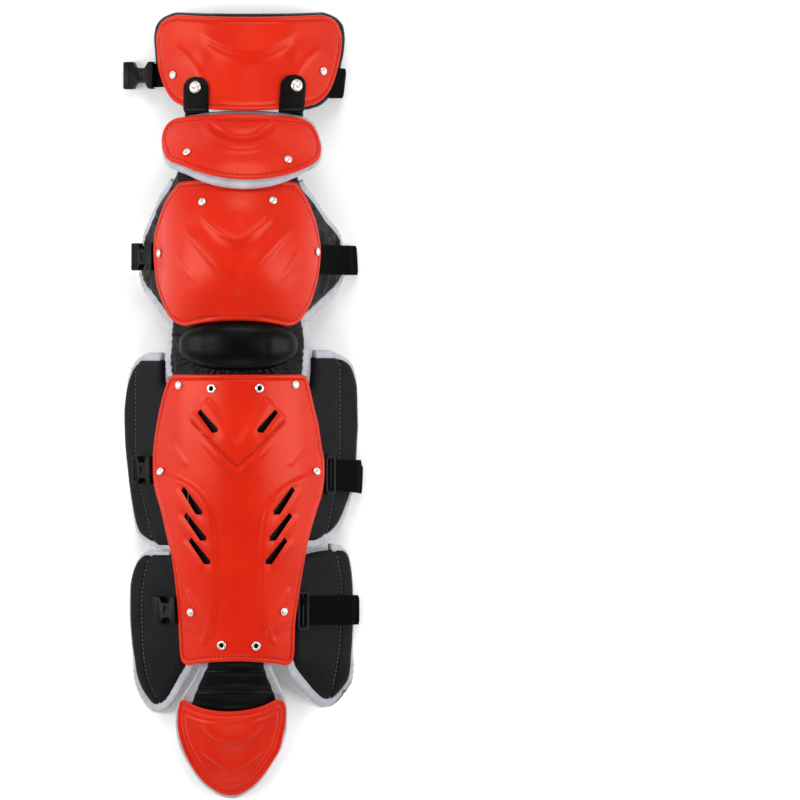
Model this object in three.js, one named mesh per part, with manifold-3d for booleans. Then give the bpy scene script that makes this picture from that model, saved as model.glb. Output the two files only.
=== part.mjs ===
// Catcher leg guard, the left one of a pair, lying on its back with its front up.
// Millimetres. X runs across the guard, Y from the toe up to the thigh, Z up from the floor.

import * as THREE from 'three';
import { mergeVertices } from 'three/addons/utils/BufferGeometryUtils.js';
import Module from 'manifold-3d';

const wasm = await Module();
wasm.setup();

// Overall sizes
const guard_length = 748;
const crown_height = 84;
const hollow_radius = 72;
const foot_reach = 104;

// Layers, counted outwards from the hollow for the leg
const fit_gap = 0.35;
const pad_thickness = 10;
const core_rise = 2.6;
const core_arc = 46;
const plate_thickness = 3;
const web_thickness = 2;
const pad_edge_share = 0.6;
const knee_rise = 9;
const plate_inner = pad_thickness + core_rise + fit_gap;
const plate_outer = plate_inner + plate_thickness;
const web_middle = pad_thickness + fit_gap + web_thickness / 2;
const strap_lift = web_thickness + 2 * fit_gap;
const rim_drop = pad_thickness * (1 - 0.7);

// Webbing, buckles and metal fittings
const strap_width = 28;
const anchor_width = 23;
const fold_radius = 4;
const buckle_length = 26;
const buckle_width = 26;
const buckle_thickness = 8;
const clasp_length = 30;
const clasp_width = 24;
const rivet_radius = 3.9;
const snap_radius = 6;
const eyelet_radius = 4.4;
const head_height = 2;
const shank_radius = 1.8;
const slot_length = 29;
const slot_width = 7;

// The leg form from thigh top to toe tip. Columns: share of the length, crown, radius and foot
// as shares of the sizes above, centre line as a share of the foot reach, share of the strap lift
const leg_form = [
  [0.00, 0.61, 1.35, 0.81, 0.075, 1],
  [0.06, 0.61, 1.35, 0.81, 0.075, 1],
  [0.12, 0.66, 1.28, 0.79, 0.055, 1],
  [0.17, 0.86, 1.10, 0.79, 0.01, 1],
  [0.22, 1.02, 1.00, 0.83, 0, 1],
  [0.31, 1.10, 0.97, 0.88, 0.005, 1],
  [0.38, 1.05, 0.97, 0.90, 0, 1],
  [0.46, 1.00, 1.00, 1.01, 0, 1],
  [0.52, 1.00, 1.00, 1.03, 0, 1],
  [0.58, 0.97, 1.00, 1.02, 0, 1],
  [0.67, 0.87, 0.94, 0.99, 0, 1],
  [0.765, 0.71, 0.84, 0.99, 0, 1],
  [0.825, 0.63, 0.80, 0.97, -0.01, 1],
  [0.875, 0.46, 0.76, 0.80, -0.06, 0.4],
  [0.925, 0.27, 0.76, 0.60, -0.09, 0],
  [1.005, 0.00, 0.76, 0.52, -0.09, 0],
];

// Outlines seen from the front. Each has its top edge, length, half width, centre line, the bow
// of its end edges, and rows of: share of the length, left and right edge as shares of the half
const outlines = {
  thigh_plate: { top: 371.9, length: 88.3, half: 89, centre: 7.6, bow: [-3.2, -4], rows: [
    [0, -0.77, 0.79], [0.03, -0.88, 0.89], [0.1, -0.96, 0.96], [0.24, -1, 1],
    [0.39, -0.99, 0.99], [0.55, -0.98, 0.96], [0.7, -0.94, 0.92], [0.82, -0.89, 0.87],
    [0.91, -0.83, 0.8], [0.97, -0.75, 0.71], [1, -0.66, 0.6],
  ] },
  thigh_pad: { top: 374.3, length: 92.1, half: 89.5, centre: 7.8, bow: [-2.8, 0], rows: [
    [0, -0.79, 0.8], [0.04, -0.91, 0.91], [0.12, -0.98, 0.98], [0.26, -1, 1],
    [0.4, -0.99, 0.99], [0.55, -0.98, 0.96], [0.7, -0.93, 0.93], [0.81, -0.87, 0.88],
    [0.9, -0.8, 0.82], [0.96, -0.72, 0.75], [1, -0.62, 0.64],
  ] },
  band_plate: { top: 272.2, length: 46.6, half: 75.8, centre: 0.2, bow: [5.7, -12.3], rows: [
    [0, -0.79, 0.72], [0.1, -0.89, 0.86], [0.27, -0.96, 0.94], [0.45, -1, 1],
    [0.63, -0.98, 1.02], [0.84, -0.92, 0.99], [1, -0.69, 0.86],
  ] },
  band_pad: { top: 274, length: 55, half: 76.7, centre: 1.2, bow: [4.4, -14.7], rows: [
    [0, -0.76, 0.81], [0.1, -0.9, 0.91], [0.28, -0.97, 0.96], [0.5, -1, 1],
    [0.68, -0.98, 1], [0.85, -0.93, 0.95], [1, -0.69, 0.76],
  ] },
  knee_plate: { top: 211.4, length: 136.8, half: 79.6, centre: -3.2, bow: [3.8, 5.7], rows: [
    [0, -0.69, 0.72], [0.09, -0.81, 0.81], [0.18, -0.89, 0.88], [0.28, -0.95, 0.94],
    [0.37, -0.99, 0.98], [0.47, -1, 1], [0.57, -0.99, 0.99], [0.67, -0.97, 0.96],
    [0.75, -0.94, 0.92], [0.84, -0.88, 0.87], [0.91, -0.83, 0.81], [0.96, -0.76, 0.76],
    [0.985, -0.69, 0.7], [1, -0.59, 0.6],
  ] },
  knee_pad: { top: 242.7, length: 218.5, half: 96.5, centre: 0.9, bow: [0, 0], rows: [
    [0, -0.55, 0.5], [0.16, -0.7, 0.59], [0.22, -0.8, 0.7], [0.3, -0.88, 0.82],
    [0.38, -0.96, 0.96], [0.46, -0.99, 0.99], [0.52, -1, 1], [0.58, -0.96, 0.94],
    [0.63, -0.87, 0.83], [0.69, -0.77, 0.69], [0.74, -0.67, 0.59], [0.78, -0.68, 0.61],
    [0.85, -0.69, 0.62], [0.91, -0.7, 0.61], [1, -0.68, 0.6],
  ] },
  bolster: { top: 78.1, length: 43.9, half: 55.3, centre: -1.4, bow: [0.9, -0.9], rows: [
    [0, -0.46, 0.46], [0.04, -0.66, 0.66], [0.11, -0.82, 0.82], [0.23, -0.94, 0.94],
    [0.38, -1, 1], [0.58, -1, 1], [0.73, -0.94, 0.94], [0.85, -0.81, 0.81],
    [0.94, -0.66, 0.66], [1, -0.45, 0.45],
  ] },
  shin_plate: { top: 29.4, length: 276.9, half: 82.1, centre: -1.9, bow: [0, 4.8], rows: [
    [0, -0.75, 0.76], [0.01, -0.8, 0.8], [0.03, -0.83, 0.82], [0.11, -0.91, 0.88],
    [0.17, -0.95, 0.93], [0.25, -0.99, 0.97], [0.3, -1, 1], [0.34, -1, 1],
    [0.4, -0.97, 0.98], [0.46, -0.91, 0.92], [0.55, -0.84, 0.83], [0.64, -0.77, 0.77],
    [0.77, -0.72, 0.7], [0.86, -0.7, 0.66], [0.95, -0.685, 0.65], [0.98, -0.67, 0.635],
    [0.992, -0.645, 0.61], [1, -0.59, 0.555],
  ] },
  shin_pad: { top: 23.3, length: 257.1, half: 60, centre: -1.9, bow: [0, 0], rows: [
    [0, -1, 1], [1, -1, 1],
  ] },
  upper_wing_left: { top: 43.2, length: 176.7, half: 29.7, centre: -82.5, bow: [0, 0], rows: [
    [0, -0.47, 0.26], [0.03, -0.65, 0.26], [0.07, -0.77, 0.26], [0.12, -0.87, 0.28],
    [0.19, -0.95, 1], [0.29, -1, 1], [0.43, -0.98, 1], [0.59, -0.89, 1],
    [0.74, -0.78, 1], [0.86, -0.65, 1], [0.93, -0.5, 1], [0.97, -0.21, 1],
    [1, 0.14, 1],
  ] },
  upper_wing_right: { top: 45.6, length: 174.3, half: 30.4, centre: 81.2, bow: [0, 0], rows: [
    [0, -0.38, 0.38], [0.02, -0.38, 0.62], [0.05, -0.38, 0.78], [0.1, -0.4, 0.89],
    [0.16, -0.44, 0.97], [0.23, -1, 0.99], [0.36, -1, 1], [0.45, -1, 0.97],
    [0.59, -1, 0.93], [0.74, -1, 0.76], [0.82, -1, 0.6], [0.9, -1, 0.4],
    [0.96, -1, 0.09], [1, -1, -0.34],
  ] },
  lower_wing_left: { top: -142, length: 143.9, half: 28, centre: -78.8, bow: [0, 0], rows: [
    [0, -0.49, 1], [0.04, -0.71, 1], [0.11, -0.88, 1], [0.22, -0.99, 1],
    [0.39, -1, 1], [0.59, -0.93, 1], [0.7, -0.85, 1], [0.79, -0.78, 0.76],
    [0.89, -0.6, 0.47], [0.95, -0.41, 0.29], [1, -0.2, 0.05],
  ] },
  lower_wing_right: { top: -137.8, length: 143.4, half: 29.2, centre: 78.1, bow: [0, 0], rows: [
    [0, 0.17, 0.68], [0.02, -0.38, 0.79], [0.08, -1, 0.89], [0.22, -1, 0.97],
    [0.42, -1, 1], [0.62, -1, 0.97], [0.69, -1, 0.94], [0.77, -0.9, 0.92],
    [0.86, -0.59, 0.85], [0.94, -0.28, 0.58], [1, 0.03, 0.3],
  ] },
  ankle_flap: { top: -234.2, length: 60.8, half: 44.6, centre: -7.1, bow: [0, 0], rows: [
    [0, -0.51, 0.66], [0.17, -0.55, 0.67], [0.36, -0.66, 0.73], [0.52, -0.76, 0.82],
    [0.7, -0.86, 0.91], [1, -1, 1],
  ] },
  foot_lining: { top: -234.2, length: 136.8, half: 54.3, centre: -9.6, bow: [0, -4.8], rows: [
    [0, -0.51, 0.71], [0.08, -0.54, 0.72], [0.19, -0.67, 0.82], [0.31, -0.86, 0.95],
    [0.42, -0.98, 1], [0.52, -1, 1], [0.67, -0.93, 0.91], [0.76, -0.82, 0.78],
    [0.85, -0.68, 0.64], [0.94, -0.5, 0.46], [1, -0.28, 0.26],
  ] },
  toe_plate: { top: -278.8, length: 89.3, half: 50.8, centre: -8.7, bow: [-12.3, -4.8], rows: [
    [0, -0.93, 0.84], [0.06, -0.97, 0.99], [0.15, -1, 1], [0.28, -1.01, 0.99],
    [0.41, -0.98, 0.94], [0.55, -0.91, 0.89], [0.68, -0.81, 0.76], [0.81, -0.67, 0.61],
    [0.93, -0.49, 0.43], [1, -0.32, 0.27],
  ] },
};

// Finishes: colour, roughness, metalness
const finishes = {
  red_plastic: [0xe93a2a, 0.32, 0],
  black_nylon: [0x202327, 0.75, 0],
  charcoal_leather: [0x2d2f2e, 0.55, 0],
  black_leather: [0x15171a, 0.45, 0],
  silver_fabric: [0xc8c6cd, 0.6, 0],
  black_webbing: [0x080a10, 0.9, 0],
  black_plastic: [0x17191b, 0.45, 0],
  bright_metal: [0xd8d4cc, 0.25, 1],
};

const lerp = THREE.MathUtils.lerp;
const clamp = THREE.MathUtils.clamp;
const smooth = (t) => THREE.MathUtils.smoothstep(t, 0, 1);
const degrees = THREE.MathUtils.degToRad;

// A smooth value between the rows of a table: no overshoot, so edges stay where the rows put them
function read(table, at, column) {
  const last = table.length - 1;
  let i = 0;
  while (i < last - 1 && at > table[i + 1][0]) i += 1;
  const slope = (k) => (table[k + 1][column] - table[k][column]) / (table[k + 1][0] - table[k][0]);
  const tangent = (k) => {
    if (k === 0) return slope(0);
    if (k === last) return slope(last - 1);
    const before = slope(k - 1);
    const after = slope(k);
    return before * after <= 0 ? 0 : (2 * before * after) / (before + after);
  };
  const span = table[i + 1][0] - table[i][0];
  const t = clamp((at - table[i][0]) / span, 0, 1);
  const rest = 1 - t;
  return (
    rest * rest * (1 + 2 * t) * table[i][column] +
    t * rest * rest * span * tangent(i) +
    t * t * (3 - 2 * t) * table[i + 1][column] -
    t * t * rest * span * tangent(i + 1)
  );
}

// The hollow at one height y: a round crown running tangent into straight flanks
function hollow(y, side) {
  const share = (guard_length / 2 - y) / guard_length;
  const crown = crown_height * read(leg_form, share, 1);
  const foot = foot_reach * read(leg_form, share, 3);
  const lift = side > 0 ? strap_lift * read(leg_form, share, 5) : 0;
  const rise = Math.max(crown - lift, 0.01);
  const radius = Math.min(
    hollow_radius * read(leg_form, share, 2),
    (foot * foot + rise * rise) / (2 * rise),
  );
  const height = crown - radius;
  const reach = Math.hypot(foot, height - lift);
  const angle = Math.atan2(height - lift, foot) + Math.asin(Math.min(1, radius / reach));
  return { centre: foot_reach * read(leg_form, share, 4), foot, lift, radius, height, angle };
}

// Where a point seen at x lies along the arc of the hollow, when it is a layer out from it
function arcAt(x, y, layer) {
  const side = x < hollow(y, -1).centre ? -1 : 1;
  const h = hollow(y, side);
  const across = Math.abs(x - h.centre);
  const radius = h.radius + layer;
  const turn = radius * Math.sin(h.angle);
  const arc = across < turn
    ? h.radius * Math.asin(across / radius)
    : h.radius * h.angle + (across - turn) / Math.cos(h.angle);
  return side * arc;
}

// The point at an arc position, a layer out from the hollow
function place(arc, y, layer) {
  const side = arc < 0 ? -1 : 1;
  const h = hollow(y, side);
  const length = Math.abs(arc);
  const angle = Math.min(length / h.radius, h.angle);
  const beyond = Math.max(0, length - h.radius * h.angle);
  const radius = h.radius + layer;
  return new THREE.Vector3(
    h.centre + side * (radius * Math.sin(angle) + beyond * Math.cos(angle)),
    y,
    h.height + radius * Math.cos(angle) - beyond * Math.sin(angle),
  );
}

// Edges of an outline at a share of its length, and the height of a point of that row
function rowOf(form, v) {
  return {
    left: form.centre + form.half * read(form.rows, v, 1),
    right: form.centre + form.half * read(form.rows, v, 2),
  };
}

function heightOf(form, u, v) {
  const bowed = 1 - u * u;
  return form.top - form.length * v + bowed * (form.bow[0] * (1 - v) ** 2 + form.bow[1] * v * v);
}

// A point of an outline as an arc position and a height; wings begin beside the core pad.
// The layer that the outline is seen at is a number, or a function of the height
function outlinePoint(form, u, v, seen, beside) {
  const row = rowOf(form, v);
  const y = heightOf(form, u, v);
  const layer = typeof seen === 'function' ? seen(y) : seen;
  let left = arcAt(row.left, y, layer);
  let right = arcAt(row.right, y, layer);
  if (beside === 'left') right = Math.min(right, -core_arc - fit_gap);
  if (beside === 'right') left = Math.max(left, core_arc + fit_gap);
  if (beside === 'core') {
    left = -core_arc;
    right = core_arc;
  }
  return { arc: lerp(left, right, (u + 1) / 2), y };
}

// Shares along a sheet, closer together at its rounded ends
const eased = (t, ease) => lerp(t, 0.5 - 0.5 * Math.cos(Math.PI * t), ease);

// Closed sheet between two layers over an outline
function sheet(form, { across, along, inner, outer, seen, beside = '' }) {
  const positions = [];
  const faces = [];
  for (const layer of [outer, inner]) {
    for (let j = 0; j <= along; j += 1) {
      for (let i = 0; i <= across; i += 1) {
        const u = 2 * eased(i / across, 0.25) - 1;
        const v = eased(j / along, 0.6);
        const at = outlinePoint(form, u, v, seen, beside);
        const point = place(at.arc, at.y, layer(at.arc, at.y, u, v));
        positions.push(point.x, point.y, Math.max(point.z, 0));
      }
    }
  }
  const row = across + 1;
  const back = row * (along + 1);
  for (let j = 0; j < along; j += 1) {
    for (let i = 0; i < across; i += 1) {
      const a = j * row + i;
      const b = a + 1;
      const c = a + row;
      const d = c + 1;
      faces.push(a, c, d, a, d, b, back + a, back + d, back + c, back + a, back + b, back + d);
    }
  }
  const wall = (a, b) => faces.push(b, a, back + a, b, back + a, back + b);
  for (let i = 0; i < across; i += 1) {
    wall(i + 1, i);
    wall(along * row + i, along * row + i + 1);
  }
  for (let j = 0; j < along; j += 1) {
    wall(j * row, (j + 1) * row);
    wall((j + 1) * row + across, j * row + across);
  }
  return indexed(positions, faces);
}

function indexed(positions, faces) {
  const geometry = new THREE.BufferGeometry();
  geometry.setAttribute('position', new THREE.Float32BufferAttribute(positions, 3));
  geometry.setIndex(faces);
  return geometry;
}

// Closed tube over rings that all have the same number of points
function loft(rings) {
  const count = rings[0].length;
  const positions = rings.flat().flatMap((p) => [p.x, p.y, p.z]);
  const faces = [];
  for (let j = 0; j < rings.length - 1; j += 1) {
    for (let i = 0; i < count; i += 1) {
      const a = j * count + i;
      const b = j * count + ((i + 1) % count);
      faces.push(a, b, b + count, a, b + count, a + count);
    }
  }
  const end = (rings.length - 1) * count;
  const flat = rings[0].map((p) => new THREE.Vector2(p.flatX, p.flatY));
  for (const [a, b, c] of THREE.ShapeUtils.triangulateShape(flat, [])) {
    faces.push(a, c, b, end + a, end + b, end + c);
  }
  return turnedOut(indexed(positions, faces));
}

// Faces turned outwards, judged by the enclosed volume
function turnedOut(geometry) {
  const p = geometry.attributes.position;
  const index = geometry.index.array;
  const corner = (k) => new THREE.Vector3().fromBufferAttribute(p, index[k]);
  let volume = 0;
  for (let k = 0; k < index.length; k += 3) {
    volume += corner(k).dot(corner(k + 1).cross(corner(k + 2)));
  }
  if (volume < 0) {
    for (let k = 0; k < index.length; k += 3) {
      [index[k], index[k + 1]] = [index[k + 1], index[k]];
    }
  }
  return geometry;
}

// A built-in shape as one closed mesh
function closed(geometry) {
  const bare = geometry.deleteAttribute('normal').deleteAttribute('uv');
  return turnedOut(mergeVertices(bare, 1e-3));
}

function toSolid(geometry) {
  const bare = geometry.clone();
  bare.deleteAttribute('normal');
  bare.deleteAttribute('uv');
  const merged = mergeVertices(bare, 1e-4);
  return new wasm.Manifold(new wasm.Mesh({
    numProp: 3,
    vertProperties: new Float32Array(merged.attributes.position.array),
    triVerts: new Uint32Array(merged.index.array),
  }));
}

function toGeometry(solid) {
  const mesh = solid.getMesh();
  return indexed(Array.from(mesh.vertProperties), Array.from(mesh.triVerts));
}

function cutBy(geometry, tools) {
  let solid = toSolid(geometry);
  for (const tool of tools) solid = solid.subtract(toSolid(tool));
  return toGeometry(solid);
}

const root = new THREE.Group();
root.name = 'catcher_leg_guard';

function add(name, geometry, finish) {
  const [color, roughness, metalness] = finishes[finish];
  const material = new THREE.MeshStandardMaterial({ color, roughness, metalness });
  const mesh = new THREE.Mesh(geometry, material);
  mesh.name = name;
  root.add(mesh);
  return mesh;
}

// Layers of the pads: full in the middle, thinner to the edge; straps lie beside the raised core
const puffed = (u, v, fall = 10) => {
  const side = clamp((1 - Math.abs(u)) * fall, 0, 1);
  const end = clamp(Math.min(v, 1 - v) * 10, 0, 1);
  return lerp(pad_edge_share, 1, Math.min(side, Math.sqrt(end)));
};
const raisedCore = (arc) => core_rise * smooth((0.8 * core_arc - Math.abs(arc)) / 8);

// The knee cup bulges out over the leg form
const knee = outlines.knee_plate;
const knee_middle = knee.top - knee.length / 2;
function kneeBulge(arc, y) {
  const across = (arc / (0.92 * knee.half)) ** 2;
  const up = ((y - knee_middle) / (0.45 * knee.length)) ** 2;
  return knee_rise * clamp(1 - across, 0, 1) * clamp(1 - up, 0, 1);
}

// The band pad climbs from the thigh up over the top of the knee plate
const band = outlines.band_pad;
const band_climb = plate_outer + fit_gap;
const band_thickness = 8;
const bandUnder = (y) => {
  const share = clamp((band.top - y) / (band.length * 0.9), 0, 1);
  return lerp(3 * fit_gap + web_thickness, band_climb + 1.5, smooth(share));
};

// Raised fields of the shin plate: a pointed panel above, one field on each side below
const shin = outlines.shin_plate;
const relief = 1.6;
const step = (distance, width) => smooth(distance / width + 0.5);
function shinRelief(arc, y) {
  const across = Math.abs(arc);
  const down = shin.top - y;
  const outer_v = 0.313 * shin.length - 1.02 * across;
  const inner_v = 0.234 * shin.length - 1.49 * across;
  const above = step(down - 0.083 * shin.length - 1.19 * (across - 0.34 * shin.half), 6);
  const panel = (step(outer_v - down, 8) - step(inner_v - down, 8)) * above;
  const shoulder = 0.473 * shin.length - 1.03 * across;
  const column = 0.2 * shin.half;
  const field = step(down - shoulder, 10) * step(across - column, 8)
    * step(0.92 * shin.length - down, 20);
  return relief * (panel + field);
}

const thigh = outlines.thigh_plate;
function thighRelief(arc, y) {
  const middle = step(44 - Math.abs(arc), 14) * step(thigh.top - 30 - y, 14);
  return -relief * 0.7 * middle;
}

function kneeRelief(arc, y) {
  const across = Math.abs(arc);
  const down = knee.top - y;
  const apex = 106 - 1.35 * across;
  return relief * step(apex - down, 10) * step(down - (56 - 0.75 * across), 10);
}

const toe = outlines.toe_plate;
function toeRelief(u, v) {
  const edge = Math.min(1 - Math.abs(u), 1.4 * v, 1.4 * (1 - v));
  return 0.75 * relief * (step(edge - 0.14, 0.12) + step(edge - 0.34, 0.12));
}

// Padded pieces
const bare = () => 0;
const flat = (layer) => () => layer;
const padTop = (arc, y, u, v) => pad_thickness * puffed(u, v) + raisedCore(arc);

// Faces across and along each pad, the layer its outline is seen at, the side of the core it is on
const rim_layer = pad_thickness * pad_edge_share;
const pads = {
  thigh_pad: { across: 12, along: 8, seen: rim_layer },
  knee_pad: { across: 12, along: 15, seen: rim_layer },
  upper_wing_left: { across: 6, along: 11, seen: rim_layer, beside: 'left' },
  upper_wing_right: { across: 6, along: 11, seen: rim_layer, beside: 'right' },
  lower_wing_left: { across: 6, along: 11, seen: rim_layer, beside: 'left' },
  lower_wing_right: { across: 6, along: 11, seen: rim_layer, beside: 'right' },
};
function pad(name, outer, finish) {
  add(name, sheet(outlines[name], { ...pads[name], inner: bare, outer }), finish);
}

pad('thigh_pad', padTop, 'black_nylon');

const knee_pad_share = 0.93;
function kneePadTop(arc, y, u, v) {
  const usual = knee_pad_share * pad_thickness * puffed(u, 0.5) + raisedCore(arc)
    + 0.85 * kneeBulge(arc, y);
  const under_band = bandUnder(y) - fit_gap;
  return y > knee.top - 12 ? Math.min(usual, under_band) : usual;
}
pad('knee_pad', kneePadTop, 'black_nylon');

add('shin_pad', sheet(outlines.shin_pad, {
  across: 6, along: 10, inner: bare, outer: flat(pad_thickness + core_rise - fit_gap),
  seen: pad_thickness, beside: 'core',
}), 'black_nylon');

add('band_pad', sheet(band, {
  across: 12, along: 8, inner: (arc, y) => bandUnder(y),
  outer: (arc, y, u, v) => bandUnder(y) + band_thickness * puffed(u, v),
  seen: (y) => bandUnder(y) + band_thickness * pad_edge_share,
}), 'silver_fabric');

for (const name of ['upper_wing_left', 'upper_wing_right', 'lower_wing_left', 'lower_wing_right']) {
  pad(name, (arc, y, u, v) => pad_thickness * puffed(u, v, 4), 'charcoal_leather');
}

const bolster_base = plate_inner + 0.4;
const bolster_height = 15;
add('bolster', sheet(outlines.bolster, {
  across: 10, along: 8, inner: flat(bolster_base),
  outer: (arc, y, u, v) => bolster_base + 2.5 + (bolster_height - 2.5)
    * Math.sqrt(clamp(1 - u ** 4, 0, 1) * clamp(1 - (2 * v - 1) ** 4, 0, 1)),
  seen: bolster_base + 2,
}), 'black_leather');

const lining_thin = 3;
const flap_thickness = 3.5;
const toe_under = lining_thin + flap_thickness + 3 * fit_gap;
add('foot_lining', sheet(outlines.foot_lining, {
  across: 8, along: 10, inner: bare, outer: flat(lining_thin), seen: lining_thin,
}), 'silver_fabric');
add('ankle_flap', sheet(outlines.ankle_flap, {
  across: 6, along: 6, inner: flat(lining_thin + fit_gap),
  outer: flat(lining_thin + fit_gap + flap_thickness), seen: toe_under,
}), 'black_leather');

// Hard plates
const surfaces = {
  thigh_plate: (arc, y) => plate_outer + thighRelief(arc, y),
  band_plate: (arc, y) => bandUnder(y) + band_thickness + 3 * fit_gap + plate_thickness,
  tab: () => plate_outer + fit_gap + web_thickness,
  knee_plate: (arc, y) => plate_outer + fit_gap + kneeBulge(arc, y) + kneeRelief(arc, y),
  shin_plate: (arc, y) => plate_outer + shinRelief(arc, y),
};
const seenAt = (plate) => (plate === 'band_plate' ? (y) => surfaces.band_plate(0, y) : plate_outer);

// A drilled rivet hole or the rivet itself stands square to the plate at a share of its outline
function spotOn(plate, u, v, lift, layer = surfaces[plate]) {
  const form = outlines[plate];
  const x = form.centre + form.half * u;
  const y = form.top - form.length * v;
  const seen = plate === 'band_plate' ? surfaces.band_plate(0, y) : plate_outer;
  const surface = (dx, dy) => {
    const arc = arcAt(x + dx, y + dy, seen);
    return place(arc, y + dy, layer(arc, y + dy));
  };
  const reach = 4;
  const along_x = surface(reach, 0).sub(surface(-reach, 0));
  const along_y = surface(0, reach).sub(surface(0, -reach));
  const normal = along_x.cross(along_y).normalize();
  const turn = new THREE.Quaternion().setFromUnitVectors(new THREE.Vector3(0, 1, 0), normal);
  return { position: surface(0, 0).addScaledVector(normal, lift), turn };
}

function drill(plate, u, v, radius, sides = 6) {
  const spot = spotOn(plate, u, v, 0);
  const tool = new THREE.CylinderGeometry(radius, radius, 4 * plate_thickness, sides);
  return tool.applyQuaternion(spot.turn).translate(...spot.position);
}

// Fittings. Columns: name, plate, across as a share of the half width, share of the length, kind
const fittings = [
  ['thigh_rivet_left', 'thigh_plate', -0.8, 0.65, 'rivet'],
  ['thigh_rivet_right', 'thigh_plate', 0.79, 0.61, 'rivet'],
  ['tab_snap_left', 'thigh_plate', -0.55, 0.79, 'snap'],
  ['tab_snap_right', 'thigh_plate', 0.5, 0.77, 'snap'],
  ['band_rivet_left', 'band_plate', -0.66, 0.71, 'rivet'],
  ['band_rivet_right', 'band_plate', 0.6, 0.86, 'rivet'],
  ['knee_rivet_top_left', 'knee_plate', -0.38, 0.14, 'rivet'],
  ['knee_rivet_top_right', 'knee_plate', 0.42, 0.13, 'rivet'],
  ['knee_rivet_side_left', 'knee_plate', -0.92, 0.49, 'rivet'],
  ['knee_rivet_side_right', 'knee_plate', 0.94, 0.48, 'rivet'],
  ['shin_rivet_top_left', 'shin_plate', -0.68, 0.037, 'rivet'],
  ['shin_rivet_top_right', 'shin_plate', 0.66, 0.035, 'rivet'],
  ['shin_rivet_side_left', 'shin_plate', -0.88, 0.333, 'rivet'],
  ['shin_rivet_side_right', 'shin_plate', 0.885, 0.332, 'rivet'],
  ['shin_rivet_low_left', 'shin_plate', -0.53, 0.815, 'rivet'],
  ['shin_rivet_low_right', 'shin_plate', 0.51, 0.812, 'rivet'],
  ['shin_eyelet_top_left', 'shin_plate', -0.3, 0.048, 'eyelet'],
  ['shin_eyelet_top_right', 'shin_plate', 0.25, 0.047, 'eyelet'],
  ['shin_eyelet_low_left', 'shin_plate', -0.19, 0.927, 'eyelet'],
  ['shin_eyelet_low_right', 'shin_plate', 0.205, 0.929, 'eyelet'],
];

const holesOf = (plate) => fittings
  .filter((row) => row[1] === plate)
  .map(([, , u, v, kind]) => (kind === 'eyelet'
    ? drill(plate, u, v, 3, 8)
    : drill(plate, u, v, shank_radius + 0.7)));

// Air slots of the shin plate. Columns: across and down from the plate's top middle as shares of
// its half width and length, lean of the slot as a share of a full turn, share of the slot length
const slots = [
  [0.34, 0.16, 0.15, 0.95],
  [0.53, 0.433, 0.162, 1.1],
  [0.49, 0.522, 0.155, 1.13],
  [0.44, 0.605, 0.155, 1.07],
];
function slotTools() {
  const shape = new THREE.Shape();
  const half = slot_length / 2;
  const waist = slot_width / 2;
  const corners = [[-1, 0.4], [-0.8, 1], [1, 0.2], [0.9, -1], [-0.8, -1]];
  shape.setFromPoints(corners.map(([a, b]) => new THREE.Vector2(a * half, b * waist)));
  const tools = [];
  for (const [across, down, lean, length] of slots) {
    for (const side of [-1, 1]) {
      const depth = 2 * crown_height;
      const tool = new THREE.ExtrudeGeometry(shape, { depth, bevelEnabled: false });
      tool.scale(length, side, 1);
      tool.rotateZ(side * lean * 2 * Math.PI);
      tool.translate(shin.centre + side * across * shin.half, shin.top - down * shin.length, 10);
      tools.push(closed(tool));
    }
  }
  return tools;
}

function plate(name, across, along, inner, tools) {
  const blank = sheet(outlines[name], {
    across, along, inner, outer: surfaces[name], seen: seenAt(name),
  });
  add(name, cutBy(blank, tools), 'red_plastic');
}

plate('thigh_plate', 12, 7, flat(plate_inner), holesOf('thigh_plate'));
plate('band_plate', 12, 6, (arc, y) => bandUnder(y) + band_thickness + 3 * fit_gap,
  holesOf('band_plate'));
plate('knee_plate', 12, 12, (arc, y) => plate_inner + fit_gap + kneeBulge(arc, y),
  holesOf('knee_plate'));
plate('shin_plate', 12, 13, flat(plate_inner), [...holesOf('shin_plate'), ...slotTools()]);
add('toe_plate', sheet(toe, {
  across: 12, along: 8, inner: flat(toe_under),
  outer: (arc, y, u, v) => toe_under + plate_thickness + toeRelief(u, v), seen: toe_under,
}), 'red_plastic');

// Two tabs lie over the thigh plate, turn down at its lower edge and run under the band pad
const tab_thickness = web_thickness;
const tab_over = plate_outer + fit_gap;
const tab_half = 11.8;
function tab(centre, top, lean) {
  const bend = thigh.top - thigh.length - 10 * fit_gap;
  const low = fit_gap;
  const outline = [
    [top, tab_over + tab_thickness], [bend - tab_thickness, tab_over + tab_thickness],
    [bend - tab_thickness, low + tab_thickness], [bend - 16, low + tab_thickness],
    [bend - 16, low], [bend, low], [bend, tab_over], [top, tab_over],
  ];
  const rings = [];
  for (const share of [-1, 0, 1]) {
    rings.push(outline.map(([y, layer]) => {
      const x = centre + share * tab_half + lean * (y - top);
      const point = place(arcAt(x, y, plate_outer), y, layer);
      point.flatX = y;
      point.flatY = layer;
      return point;
    }));
  }
  return rings;
}
function tabShape(centre, top, lean) {
  const shape = new THREE.Shape();
  const low = top - 80;
  shape.moveTo(centre - tab_half - 6, low);
  shape.lineTo(centre + tab_half + 6, low);
  shape.lineTo(centre + tab_half, top - 8);
  shape.lineTo(centre + tab_half * 0.8, top - 3);
  shape.lineTo(centre + tab_half * 0.35, top);
  shape.lineTo(centre - tab_half * 0.35, top);
  shape.lineTo(centre - tab_half * 0.8, top - 3);
  shape.lineTo(centre - tab_half, top - 8);
  const prism = new THREE.ExtrudeGeometry(shape, { depth: 3 * crown_height, bevelEnabled: false });
  return closed(prism);
}
const tabs = [
  ['tab_left', -41.5, 312.1, 0, -0.55, 0.79],
  ['tab_right', 50.3, 314, 0.07, 0.5, 0.77],
];
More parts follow.
